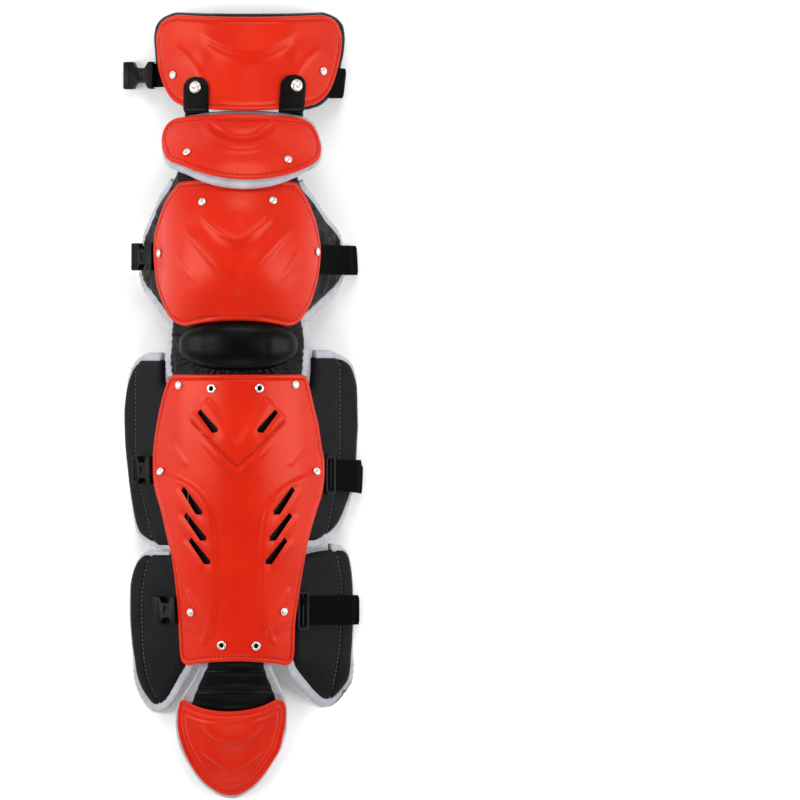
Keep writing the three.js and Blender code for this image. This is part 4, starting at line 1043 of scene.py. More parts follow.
soft_piece("knee_pad", arc, y, form_fit + lumps * room - 0.3, tucked(edge), "black_nylon",
           "nylon")

# %% [markdown]
# ### Band roll
# Behind the band plate lies a soft roll of silver cloth, one closed seam across it near the right
# end. Its surface ripples a little where the cloth is drawn round the edge.

# %% The silver roll behind the band plate
arc, y, edge, u, v = pad_grid("band_pad", 120, 50)
under = band_under(y)
ripple = 0.28 * np.sin(2 * math.pi * arc / 7 + 2 * noise_field(arc, y, 16, 41)) * np.exp(-edge / 4)
seam_across = 1.5 * ridge(arc - 57 + 0.3 * (y - 216), 1.3)
roll = band_thickness * round_over(edge, 6.5, 0.3) + ripple - seam_across
soft_piece("band_pad", arc, y, under + roll, under + tucked(edge, 1.8, 4), "silver_fabric",
           "silver")

# %% [markdown]
# ### Wings
# Four charcoal leather wings wrap the calf. A seam runs down each one, a finger's width in from
# the outer edge, and the leather swells softly on both sides of it. Small bays come from the
# stitches that pull the leather down.

# %% The four wings
# Columns: name, rows of (height y, distance of the seam from the outline's middle line)
wing_seams = {
    "upper_wing_left": [(42, -17.5), (-34, -17.6), (-76, -13), (-102, -7.3), (-132, -1)],
    "upper_wing_right": [(44, 12.8), (-36, 12.4), (-84, 6.2), (-120, 0.5), (-134, -3)],
    "lower_wing_left": [(-143, -8.4), (-165, -13.2), (-190, -15.8), (-234, -14.4), (-256, -11),
                        (-285, 0)],
    "lower_wing_right": [(-140, 12.3), (-169, 16.8), (-219, 16), (-245, 13.2), (-278, 7)],
}
wing_lines = {}
for name, seam in wing_seams.items():
    form = outlines[name]
    arc, y, edge, u, v = pad_grid(name, 56, 110)
    x = place(arc, y, 8)[..., 0]
    rows = sorted((height, form["centre"] + off) for height, off in seam)
    seam_x = read(rows, y, 1)
    from_seam = np.abs(x - seam_x)
    height = pad_thickness * round_over(edge, 9, 0.42)
    bays = 0.14 * np.sin(2 * math.pi * y / 4.2) * ridge(from_seam - 1.6, 1.6)
    outer_panel = step((x - seam_x) * (1 if "right" in name else -1), 4)
    height = (height - 1.5 * ridge(from_seam, 1.5) - 0.5 * ridge(from_seam, 5) + bays
              - 0.5 * outer_panel + 0.35 * noise_field(arc, y, 34, len(name)))
    soft_piece(name, arc, y, height - 0.35 * creases(arc, y, 26, 3 + len(name)) * soft(edge / 9),
               tucked(edge), "charcoal_leather", "leather")
    along = np.linspace(min(seam[0][0], form["top"] - 5), form["top"] - form["length"] + 6, 160)
    wing_lines[name] = (arc_at(read(rows, along, 1), along, 8), along)

# %% [markdown]
# ### Bolster
# The black bolster below the cup is a firm cushion of smooth leather, flatter in the middle with a
# soft edge on each side of the flat, and a piped seam round its foot.

# %% The bolster
bolster_base, bolster_height = plate_inner + 0.4, 15
arc, y, edge, u, v = pad_grid("bolster", 110, 70)
crown = np.sqrt(np.clip(1 - np.abs(u) ** 3.4, 0, 1) * np.clip(1 - np.abs(2 * v - 1) ** 2.8, 0, 1))
flat_middle = soft((27 - np.abs(arc + 2)) / 7)
dome = 1.6 + (bolster_height - 1.6) * crown
dome = dome - 0.5 * flat_middle * crown + 0.45 * ridge(np.abs(arc + 2) - 25, 4) * crown
dome = dome - 0.5 * creases(arc, y, 9, 61) * np.exp(-((edge - 3) / 4) ** 2)
dome = np.minimum(dome, 0.6 + edge * 3)
soft_piece("bolster", arc, y, bolster_base + dome, bolster_base + 0.15 + 0 * arc,
           "black_leather", "leather")

# %% [markdown]
# ### Ankle flap and foot lining
# A pleated black flap joins the shin to the toe plate so that the ankle can bend, and lies on a
# thin silver lining whose rolled edges show on both sides.

# %% The ankle flap with its pleats, and the lining under it
arc, y, edge, u, v = pad_grid("ankle_flap", 60, 90, 0.4)
pleats = 0
for fold_y, depth in ((-239, 1.0), (-249.5, 1.5), (-257, 0.7), (-270.5, 1.6), (-277, 0.6)):
    sway = fold_y + 1.2 * noise_field(arc, y, 30, int(-fold_y)) - 0.0006 * (arc + 3) ** 2
    pleats = pleats + depth * ridge(y - sway, 1.5) * soft((edge + 3) / 6)
swelling = 0.7 * np.sin(2 * math.pi * (y + 239) / 21) ** 2
flap_base = lining_thin + fit_gap
outer = flap_base + flap_thickness * round_over(edge, 3, 0.5) - pleats + swelling - 0.2
outer = np.minimum(outer, np.where(y < -283, toe_under - 0.15, outer))
soft_piece("ankle_flap", arc, y, outer, flap_base + 0.1 * soft(edge), "black_leather",
           "leather")

arc, y, edge, u, v = pad_grid("foot_lining", 70, 110)
roll_edge = 2.2 * ridge(edge - 3.2, 3) * soft((-248 - y) / 12 + 1) * soft(edge / 1.2)
gathers = 0.22 * np.sin(2 * math.pi * y / 5.5 + 2 * noise_field(arc, y, 14, 71)) * np.exp(-edge / 5)
under_flap = soft((np.abs(arc + 8) - 22 + (y + 234) * 0.2) / 6)
top_layer = 3 * round_over(edge, 2.5, 0.25) + (roll_edge * under_flap + gathers) * (y > -295) - 0.1
bottom = tucked(edge, 0.9, 2.5) * (y > -330)
soft_piece("foot_lining", arc, y, top_layer, np.minimum(bottom, top_layer - 0.4),
           "silver_fabric", "silver")

# %% [markdown]
# ## Bindings
# The edges of the pads are bound in silver cloth. A binding is swept along the rim: a rounded
# section runs round the edge, and gathers come from swelling and shrinking that section a little
# every few millimetres, as drawn cloth does on a curve.

# %% Helper that sweeps a rounded section along a rim
def rim_walk(name, side, start, end, pitch=1.1):
    """Rim points over the top, down the outer side, along the foot and up the inner side."""
    form, (seen, beside) = outlines[name], pads[name]
    at = np.linspace(start, end, 900)
    u = np.select([at < 1, at < 2, at < 3], [side * (2 * at - 1), side + 0 * at,
                                             side * (1 - 2 * (at - 2))], -side)
    v = np.select([at < 1, at < 2, at < 3], [0 * at, at - 1, 1 + 0 * at], 4 - at)
    arc, y = on_outline(form, u, v, seen, beside)
    length = np.concatenate([[0], np.cumsum(np.hypot(np.diff(arc), np.diff(y)))])
    even = np.linspace(0, length[-1], max(8, int(length[-1] / pitch)))
    return (np.interp(even, length, arc), np.interp(even, length, y),
            np.interp(even, length, at), even)


def smooth_line(values, reach):
    kernel = np.hanning(2 * reach + 3)[1:-1]
    padded_values = np.concatenate([np.full(reach, values[0]), values, np.full(reach, values[-1])])
    return np.convolve(padded_values, kernel / kernel.sum(), "valid")


def tube(rings):
    """Faces of a closed tube over rings of equal size, with capped ends."""
    count, around = rings.shape[:2]
    index = np.arange(count * around).reshape(count, around)
    beside = np.roll(index, -1, 1)
    sides = np.stack([index[:-1], beside[:-1], beside[1:], index[1:]], -1).reshape(-1, 4).tolist()
    return sides + [index[0, ::-1].tolist(), index[-1].tolist()]


def facing_out(points, faces):
    """The faces, turned round if the volume that they enclose is negative."""
    points = np.asarray(points)
    volume = 0.0
    for face in faces:
        first = points[face[0]]
        for b, c in zip(face[1:-1], face[2:]):
            volume += first @ np.cross(points[b], points[c])
    return faces if volume > 0 else [face[::-1] for face in faces]


binding_height, overlap = 5.9, 2.3
section = [(math.cos(a), math.sin(a)) for a in np.linspace(0, 2 * math.pi, 16, endpoint=False)]


def binding(name, pad, side, widths, seed):
    """The binding of a pad's rim, and the line of the stitches inside it."""
    arc, y, at, along = rim_walk(pad, side, widths[0][0], widths[-1][0])
    reach = 6 if pad.startswith("lower") else 3
    arc, y = smooth_line(arc, reach), smooth_line(y, reach)
    width = read(widths, at, 1)
    dx, dy = np.gradient(arc), np.gradient(y)
    size = np.hypot(dx, dy)
    out_x, out_y = -side * dy / size, side * dx / size
    wander = noise_field(along, 0 * along, 9, seed)
    gather = np.sin(2 * math.pi * along / 5.6 + 2.4 * wander)
    fine = noise_field(along, 0 * along, 2.6, seed + 1)
    half = (width + overlap) / 2 + (0.55 if pad == "knee_pad" else 0.25) * gather + 0.2 * fine
    thick = binding_height / 2 * (1 + 0.05 * gather + 0.05 * fine)
    thick = np.minimum(thick, 0.6 * binding_height / 2 + 0.32 * width)
    rings = []
    for c, s in section:
        puff = np.sign(c) * abs(c) ** 0.8, np.sign(s) * abs(s) ** 0.8
        off = (width - overlap) / 2 + half * puff[0] + 0.5 * fit_gap
        height = binding_height / 2 + thick * puff[1]
        p = place(arc + out_x * off, y + out_y * off, height)
        p[:, 2] = np.maximum(p[:, 2], 0)
        rings.append(p)
    rings = np.stack(rings, 1)
    cut = np.stack([np.repeat(along[:, None], len(section), 1),
                    np.tile(np.arange(len(section)) * 1.3, (len(along), 1))], -1).reshape(-1, 2)
    points = rings.reshape(-1, 3)
    piece = make_piece(f"{name}_silver", points, facing_out(points, tube(rings)),
                       "silver_fabric", name, cut)
    inner = arc - out_x * (overlap - 0.6), y - out_y * (overlap - 0.6)
    return piece, inner


# %% The six bindings
# Columns: place on the rim walk, width in millimetres
rim_widths = {
    "knee_binding_left": [(1.14, 7), (1.4, 8), (1.55, 7.5), (1.75, 9.5), (1.9, 10), (1.985, 9)],
    "knee_binding_right": [(1.14, 6.5), (1.35, 6), (1.52, 5.5), (1.62, 8), (1.75, 10), (1.9, 10),
                           (1.985, 9)],
    "upper_binding_left": [(0.1, 7), (0.6, 7), (1.04, 4), (1.2, 1.5), (1.8, 1.5), (1.94, 4),
                           (2.6, 3.6)],
    "upper_binding_right": [(0.1, 7), (0.6, 7), (1.04, 4), (1.2, 1.5), (1.8, 4), (1.94, 7),
                            (2.6, 6)],
    "lower_binding_left": [(0.4, 3.5), (0.9, 3.5), (1.1, 1.5), (1.6, 1.5), (1.85, 5), (2.1, 7),
                           (2.9, 7.5), (3.3, 7.5)],
    "lower_binding_right": [(0.2, 6), (0.9, 4), (1.1, 1.5), (1.6, 1.5), (1.85, 5), (2.1, 7),
                            (2.9, 7.5), (3.3, 7.5)],
}
overlock_lines = {}
for seed, (name, widths) in enumerate(rim_widths.items()):
    side = -1 if name.endswith("left") else 1
    pad = "knee_pad" if name.startswith("knee") else name.replace("binding", "wing")
    piece, overlock_lines[name] = binding(name, pad, side, widths, 90 + 5 * seed)
    print(piece.name, triangles_made[piece.name], "triangles")

# %% [markdown]
# ## Tabs, straps and webs
# Two leather tabs come over the lower edge of the thigh plate, turn down and run under the roll.
# The straps are nylon webbing, 28 mm wide: each leaves the right edge of a plate, turns round the
# rim of a wing and runs back along the floor. Webbing is modelled directly as a flat band, since it
# hardly creases.

# %% Helper for a flat band along a path that may differ across its width
def flat_band(name, paths, ys, thickness, finish, ending, stands_for=None):
    """paths: one list of (x, z) per station across; ys: the heights of the stations."""
    paths, ys = np.asarray(paths, float), np.asarray(ys, float)
    stations, count, _ = paths.shape
    run = np.gradient(paths, axis=1)
    normal = np.stack([run[..., 1], -run[..., 0]], -1)
    normal /= np.maximum(np.linalg.norm(normal, axis=-1, keepdims=True), 1e-9)
    across = np.linspace(-1, 1, stations)
    edge_share = np.sqrt(np.clip(1 - np.abs(across) ** 9, 0, 1)) * 0.75 + 0.25
    half = thickness / 2 * edge_share[:, None, None]
    middle_y = np.broadcast_to(ys[:, None] if ys.ndim == 1 else ys, (stations, count))
    front = np.concatenate([(paths + normal * half), middle_y[..., None]], -1)[..., [0, 2, 1]]
    back = np.concatenate([(paths - normal * half), middle_y[..., None]], -1)[..., [0, 2, 1]]
    points = np.concatenate([front.reshape(-1, 3), back.reshape(-1, 3)])
    points[:, 2] = np.maximum(points[:, 2], 0)
    index = np.arange(stations * count).reshape(stations, count)
    offset = stations * count
    a, b, c, d = index[:-1, :-1], index[:-1, 1:], index[1:, :-1], index[1:, 1:]
    top = np.stack([a, b, d, c], -1).reshape(-1, 4)
    border = rim_of(index)
    after = np.roll(border, -1)
    wall = np.stack([border, after, offset + after, offset + border], -1)
    faces = np.concatenate([top, top[:, ::-1] + offset, wall]).tolist()
    steps = np.concatenate([[0], np.cumsum(np.linalg.norm(np.diff(paths[stations // 2], axis=0),
                                                          axis=1))])
    flat = np.stack([np.broadcast_to(steps, (stations, count)),
                     np.broadcast_to(np.linspace(0, np.ptp(ys), stations)[:, None],
                                     (stations, count))], -1).reshape(-1, 2)
    return make_piece(f"{name}_{ending}", points, facing_out(points, faces), finish,
                      stands_for or (), np.concatenate([flat, flat]))


def spaced(path, pitch=1.6):
    """The path with even steps."""
    path = np.asarray(path, float)
    length = np.concatenate([[0], np.cumsum(np.hypot(*np.diff(path, axis=0).T))])
    even = np.linspace(0, length[-1], max(4, int(length[-1] / pitch)))
    return np.stack([np.interp(even, length, path[:, k]) for k in (0, 1)], -1)


def matched(paths):
    """The paths with the same number of points each."""
    share = np.linspace(0, 1, min(len(path) for path in paths))
    return [np.stack([np.interp(share, np.linspace(0, 1, len(path)), path[:, k])
                      for k in (0, 1)], -1) for path in paths]


# %% The four straps on the right
strap_width, fold_radius, knee_slack = 28, 4, 1.03
# Columns: name, middle height y, where the free end lies as a share of the foot reach, how far
# the strap stands off from the flank at its foot
straps = [("thigh", 307.8, -0.2, 0), ("knee", knee_strap_y, strap_end_share, 7.5),
          ("upper_calf", -66, strap_end_share, 0), ("lower_calf", -195.2, strap_end_share, 0)]


def strap_path(y, end, stand_off=0.0, raise_by=0.0, from_arc=core_arc + 1, tail=True):
    """Round the flank, over the rim and, with a tail, back along the floor to x = end."""
    _, radius, height, angle, foot = (float(v) for v in hollow(y, 1.0))
    foot_arc = radius * angle + max(0, (foot - radius * math.sin(angle)) / math.cos(angle))
    arcs = np.linspace(from_arc, foot_arc, 46)
    free = foot_arc / 3
    angle = angle - math.atan(2 * stand_off / free)
    drop = rim_drop * np.clip(1 - (foot_arc - arcs) / 6, 0, 1)
    off = stand_off * np.clip(1 - (foot_arc - arcs) / free, 0, 1) ** 2
    over = place(arcs, y, web_middle + raise_by + knee_slack * knee_bulge(arcs, y) - drop + off)
    path = [(p[0], p[2]) for p in over]
    normal = (math.sin(angle), math.cos(angle))
    turn_radius = fold_radius + raise_by
    centre_z = web_thickness / 2 + fold_radius
    centre_x = path[-1][0] + (-turn_radius - (centre_z - path[-1][1]) * normal[1]) / normal[0]
    for a in np.linspace(angle, math.pi if tail else angle + 0.35, 18):
        path.append((centre_x + turn_radius * math.sin(a), centre_z + turn_radius * math.cos(a)))
    if tail:
        path.append((end, web_thickness / 2))
    return spaced(path)


for name, y, end, stand_off in straps:
    ys = y + np.linspace(-0.5, 0.5, 9) * strap_width
    even = matched([strap_path(yy, end * foot_reach, stand_off) for yy in ys])
    flat_band(f"{name}_strap", even, ys, web_thickness, "black_webbing", "webbing",
              f"{name}_strap")
print("straps made")

# %% [markdown]
# ### Where the straps turn back
# On the calf each strap passes through a plastic loop beside the plate and lies double from the
# loop to the rim. The second layer and the loops are small pieces of their own.

# %% Second layers and loops
# Columns: strap, middle height y, x of the loop, width of the loop, how the second layer leans
loops = [("upper_calf", -66, 85.5, 34, -0.16), ("lower_calf", -195.2, 59.5, 34.5, -0.02)]


def bar(points, radius, name, finish="black_plastic", sides=10):
    """Rounded bar through points in millimetres, closed on itself if the ends meet."""
    points = np.asarray(points, float)
    closed = np.allclose(points[0], points[-1])
    if closed:
        points = points[:-1]
    ahead = np.roll(points, -1, 0) if closed else np.vstack([points[1:], points[-1:]])
    behind = np.roll(points, 1, 0) if closed else np.vstack([points[:1], points[:-1]])
    run = ahead - behind
    run /= np.linalg.norm(run, axis=1, keepdims=True)
    mean = np.cross(points - points.mean(0), run).sum(0)
    mean /= np.linalg.norm(mean)
    side = np.cross(mean, run)
    side /= np.linalg.norm(side, axis=1, keepdims=True)
    up = np.cross(run, side)
    turns = np.linspace(0, 2 * math.pi, sides, endpoint=False)
    wide, tall = radius if isinstance(radius, tuple) else (radius, radius)
    rings = (points[:, None] + wide * np.cos(turns)[None, :, None] * side[:, None]
             + tall * np.sin(turns)[None, :, None] * up[:, None])
    count = len(points)
    index = np.arange(count * sides).reshape(count, sides)
    follow = np.roll(index, -1, 0) if closed else index[1:]
    base = index if closed else index[:-1]
    faces = np.stack([base, np.roll(base, -1, 1), np.roll(follow, -1, 1), follow], -1)
    faces = faces.reshape(-1, 4).tolist()
    if not closed:
        faces += [index[0, ::-1].tolist(), index[-1].tolist()]
    flat = rings.reshape(-1, 3)
    return make_piece(name, flat, facing_out(flat, faces), finish)


def frame_ring(centre, outward, lengthwise, half_long, half_wide, corner=2.2, steps=6):
    """Rounded rectangle of points round a centre, in millimetres."""
    points = []
    for sx, sy, start in ((1, 1, 0), (-1, 1, 90), (-1, -1, 180), (1, -1, 270)):
        for i in range(steps + 1):
            a = math.radians(start + 90 * i / steps)
            points.append((sx * (half_long - corner) + corner * math.cos(a),
                           sy * (half_wide - corner) + corner * math.sin(a)))
    points.append(points[0])
    return [np.asarray(centre) + p * np.asarray(outward) + q * np.asarray(lengthwise)
            for p, q in points]


for name, y, loop_x, loop_width, lean in loops:
    loop_arc = float(arc_at(loop_x, y, web_middle + 3))
    here = place(loop_arc, y, web_middle + 2.6)
    outward = place(loop_arc + 2, y, web_middle + 2.6) - place(loop_arc - 2, y, web_middle + 2.6)
    outward /= np.linalg.norm(outward)
    ring = frame_ring(here, outward, (0, 1, 0), 5.2, loop_width / 2)
    bar(ring, (1.9, 1.5), f"{name}_loop")
    middle_bar = [here + np.array([0, k * loop_width / 2 * 0.94, 0]) for k in np.linspace(-1, 1, 8)]
    bar(middle_bar, (1.3, 1.1), f"{name}_loop_bar")
    ys = y + np.linspace(-0.5, 0.5, 9) * (strap_width - 1)
    even = matched([strap_path(yy, 0, 0, web_thickness, loop_arc - 1, tail=False) for yy in ys])
    slant = ys[:, None] + lean * np.linspace(0, 30, len(even[0]))[None, :]
    flat_band(f"{name}_second_layer", even, slant, web_thickness * 0.9, "black_webbing", "webbing")
print("loops made")

# %% [markdown]
# ### Webs and buckles on the left
# On the left a short web comes from under the plate and ends in an open side-release buckle. The
# buckle is one moulding: the outline with its two waists, bevelled like a moulded edge, a mouth for
# the prongs, and a few raised grip bars.

# %% Webs and buckles
anchor_width, buckle_length, buckle_width, buckle_thickness = 23, 26, 26, 8
thigh_buckle_length = 30
# Columns: name, middle height y, plate it comes from under, slope in degrees, clear of the plate
anchors = [("thigh", 315.3, "thigh_plate", 20, 13.5), ("knee", 141.7, "knee_plate", 42, 4.5),
           ("upper_calf", -61.3, "shin_plate", 0, 0.8),
           ("lower_calf", -194.3, "shin_plate", 0, 0.8)]
# Columns: share of the buckle's length outwards, share of its half width
buckle_edge = [(0, 0.94), (0.03, 1), (0.13, 1), (0.17, 0.93), (0.26, 0.58), (0.3, 0.54),
               (0.56, 0.54), (0.6, 0.6), (0.68, 0.95), (0.72, 1), (0.96, 1), (1, 0.93)]


def bevelled(piece, width, segments=2, angle=35):
    bevel = piece.modifiers.new("bevel", "BEVEL")
    bevel.width, bevel.segments, bevel.limit_method = width * mm, segments, "ANGLE"
    bevel.angle_limit = math.radians(angle)
    return bake(piece)


def block(low, high, place_matrix):
    """A box in millimetres, turned and moved by a matrix in metres."""
    corners = [(x, y) for x, y in ((low[0], low[1]), (high[0], low[1]), (high[0], high[1]),
                                   (low[0], high[1]))]
    tool = prism("block", [(x * mm, y * mm) for x, y in corners], low[2] * mm, high[2] * mm)
    tool.data.transform(place_matrix)
    return tool


def buckle(name, base, outward, lengthwise, face, long):
    """An open buckle of length long that points outward from its base."""
    turn = Matrix((outward, lengthwise, face)).transposed().to_4x4()
    turn.translation = Vector((np.asarray(base) + shift) * mm)
    half = buckle_width / 2
    edge = [(a * long, b * half) for a, b in buckle_edge]
    outline = edge + [(x, -y) for x, y in reversed(edge)]
    shell = prism("shell", [(x * mm, y * mm) for x, y in outline], 0.3 * mm, buckle_thickness * mm)
    piece = make_piece(f"{name}_buckle_moulded", np.array([v.co[:] for v in shell.data.vertices])
                       / mm, [list(p.vertices) for p in shell.data.polygons], "black_plastic",
                       f"{name}_buckle")
    stand(piece, turn)
    bpy.data.objects.remove(shell)
    mouth = block((long * 0.36, -half * 0.36, 2.2), (long + 2, half * 0.36, 6.2),
                  turn)
    throat = block((-2, -anchor_width / 2 - 0.5, -1), (long * 0.13, anchor_width / 2 + 0.5,
                                                       3.6), turn)
    window = block((long * 0.33, -half * 0.3, buckle_thickness - 1.1),
                   (long * 0.53, half * 0.3, buckle_thickness + 2), turn)
    cut_from(piece, [mouth, throat, window])
    bevelled(piece, 0.65)
    piece.data.shade_smooth()
    piece.data.set_sharp_from_angle(angle=math.radians(50))
    for k, share in enumerate((0.76, 0.83, 0.9)):
        grip = [np.asarray(base) + share * long * np.asarray(outward)
                + q * half * 0.8 * np.asarray(lengthwise)
                + (buckle_thickness + 0.05) * np.asarray(face) for q in np.linspace(-1, 1, 6)]
        bar(grip, (0.55, 0.5), f"{name}_buckle_grip_{k + 1}", sides=8)
    return piece


for name, y, plate, slope, clear in anchors:
    form = outlines[plate]
    v = (form["top"] - y) / form["length"]
    left = form["centre"] + form["half"] * float(read(form["rows"], v, 1))
    start_arc = float(arc_at(left, y, plate_outer)) - clear
    _, radius, _, flank, _ = (float(q) for q in hollow(y, -1.0))
    angle = math.radians(slope) if slope else min(-start_arc / radius, flank)
    seat = pad_thickness + fit_gap
    base = place(start_arc, y, seat + (0 if slope else 2 * fit_gap))
    outward, lengthwise = np.array([-math.cos(angle), 0, -math.sin(angle)]), np.array([0, 1.0, 0])
    if not slope:
        outward = place(start_arc - buckle_length, y, seat) - place(start_arc, y, seat)
        outward /= np.linalg.norm(outward)
        middle = start_arc - buckle_length / 2
        lengthwise = (place(middle, y + buckle_width / 2, seat)
                      - place(middle, y - buckle_width / 2, seat))
        lengthwise /= np.linalg.norm(lengthwise)
    face = np.cross(lengthwise, outward)
    face /= np.linalg.norm(face)
    face = face if face[2] > 0 else -face
    lengthwise = np.cross(face, outward)
    buckle(name, base, outward, lengthwise, face,
           thigh_buckle_length if name == "thigh" else buckle_length)
    ys = y + np.linspace(-0.5, 0.5, 7) * anchor_width
    paths = []
    for yy in ys:
        arcs = -np.linspace(core_arc + 1, -start_arc - 1, 24)
        lie = place(arcs, yy, web_middle + knee_slack * knee_bulge(arcs, yy))
        tip = (base + outward * buckle_length * 0.11 + face * web_thickness / 2
               + lengthwise * (yy - y))
        path = np.array([(p[0], p[2]) for p in lie] + [(tip[0], tip[2])])
        paths.append(spaced(path, 1.4))
    flat_band(f"{name}_web", matched(paths), ys, web_thickness, "black_webbing", "webbing",
              f"{name}_web")
print("buckles made")

# %% [markdown]
# ### Leather tabs
# A tab is a strip of 2 mm leather with a rounded end. Its path in the plane along the guard has a
# small radius at each turn, because thick leather never folds sharply.

# %% The two tabs
thigh = outlines["thigh_plate"]
# Columns: name, middle line x, top y, lean
tabs = [("tab_left", -41.5, 312.1, 0), ("tab_right", 50.3, 314, 0.07)]
tab_half = 11.8
for name, centre, top, lean in tabs:
    bend = thigh["top"] - thigh["length"] - 10 * fit_gap
    over, low = tab_over + web_thickness / 2 + 0.15, fit_gap + web_thickness / 2
    corners = [(top, over), (bend + 1.5, over), (bend - 0.4, over - 0.7), (bend - 1, over - 2.6),
               (bend - 1, low + 4), (bend - 1.6, low + 1.4), (bend - 4, low), (bend - 16, low)]
    line = spaced(corners, 1.0)
    run = np.gradient(line, axis=0)
    normal = np.stack([-run[:, 1], run[:, 0]], -1)
    normal /= np.linalg.norm(normal, axis=1, keepdims=True)
    if normal[0, 1] < 0:
        normal = -normal
    from_top = np.concatenate([[0], np.cumsum(np.hypot(*np.diff(line, axis=0).T))])
    narrow = np.sqrt(np.clip(1 - np.clip(1 - from_top / 11, 0, 1) ** 2, 0, 1))
    half_width = tab_half * (0.15 + 0.85 * narrow)
    share = np.linspace(-1, 1, 19)
    edge_share = 0.35 + 0.65 * np.sqrt(1 - np.abs(share) ** 8)
    sheets = []
    for sign in (1, -1):
        lift = sign * web_thickness / 2 * edge_share[None, :] * np.ones((len(line), 1))
        y = line[:, :1] + normal[:, :1] * lift
        layer = line[:, 1:] + normal[:, 1:] * lift
        x = centre + share[None, :] * half_width[:, None] + lean * (y - top)
        sheets.append((arc_at(x, y, np.clip(layer, 0, plate_outer)), y, layer))
    (arc, y, outer), (back_arc, back_y, inner) = sheets
    points, faces, cut = closed_grid(arc, y, outer, inner)
    points[len(points) // 2:] = place(back_arc, back_y, inner).reshape(-1, 3)
    make_piece(f"{name}_leather", points, facing_out(points, faces), "black_leather", name, cut)
print("tabs made")

# %% [markdown]
# ## Rivets, snaps and eyelets
# Each fitting is turned from a profile: a domed head with a rolled rim for rivets and snaps, an
# open ring for the eyelets. They stand square on the plate, on the same spots as the solids.

# %% Fittings
rivet_profile = [(0, 1.9), (1.2, 1.85), (2.3, 1.62), (3.1, 1.2), (3.65, 0.75), (3.9, 0.35),
                 (3.85, 0.05), (3.6, -0.1), (1.8, -0.1), (1.8, -2.2), (0, -2.2)]
snap_profile = [(0, 2.15), (0.9, 2.2), (1.5, 2.5), (2.6, 2.75), (4.0, 2.6), (5.0, 2.1), (5.7, 1.3),
                (6.0, 0.7), (5.95, 0.2), (5.6, 0), (1.8, 0), (1.8, -4.2), (0, -4.2)]
eyelet_profile = [(2.15, 0.3), (2.4, 0.95), (3.0, 1.25), (3.7, 1.1), (4.2, 0.7), (4.4, 0.25),
                  (4.3, 0), (2.6, 0), (2.6, -2.3), (2.15, -2.3)]
profiles = {"rivet": rivet_profile, "snap": snap_profile, "eyelet": eyelet_profile}
lifts = {"rivet": 2.2 * fit_gap, "snap": 2 * fit_gap, "eyelet": 2.6 * fit_gap}
around = 32
for name, plate, u, v, kind in fittings:
    spot, normal = spot_on(plate, u, v, "tab" if kind == "snap" else None)
    profile = np.array(profiles[kind])
    angles = np.linspace(0, 2 * math.pi, around, endpoint=False)
    rings = np.stack([np.outer(profile[:, 0], np.cos(angles)), np.outer(profile[:, 0],
                     np.sin(angles)), np.repeat(profile[:, 1:], around, 1)], -1)
    index = np.arange(len(profile) * around).reshape(len(profile), around)
    follow = np.roll(index, -1, 0) if kind == "eyelet" else index[1:]
    base = index if kind == "eyelet" else index[:-1]
    faces = np.stack([base, follow, np.roll(follow, -1, 1), np.roll(base, -1, 1)], -1)
    points = rings.reshape(-1, 3)
    piece = make_piece(f"{name}_metal", points, facing_out(points, faces.reshape(-1, 4).tolist()),
                       "bright_metal", name)
    turn = normal.to_track_quat("Z", "Y").to_matrix().to_4x4()
    turn.translation = spot + normal * lifts[kind] * mm
    stand(piece, turn)
    bm = bmesh.new()
    bm.from_mesh(piece.data)
    bmesh.ops.remove_doubles(bm, verts=bm.verts, dist=1e-6)
    bm.to_mesh(piece.data)
    bm.free()
print(len(fittings), "fittings")

# %% [markdown]
# ## Stitches
# The plates are sewn down in a groove near their edge, the wings along their seams, and the
# bindings with a short overlock stitch. A stitch is a small thread arch that dips into the cloth at
# both ends; a row of them is one piece.

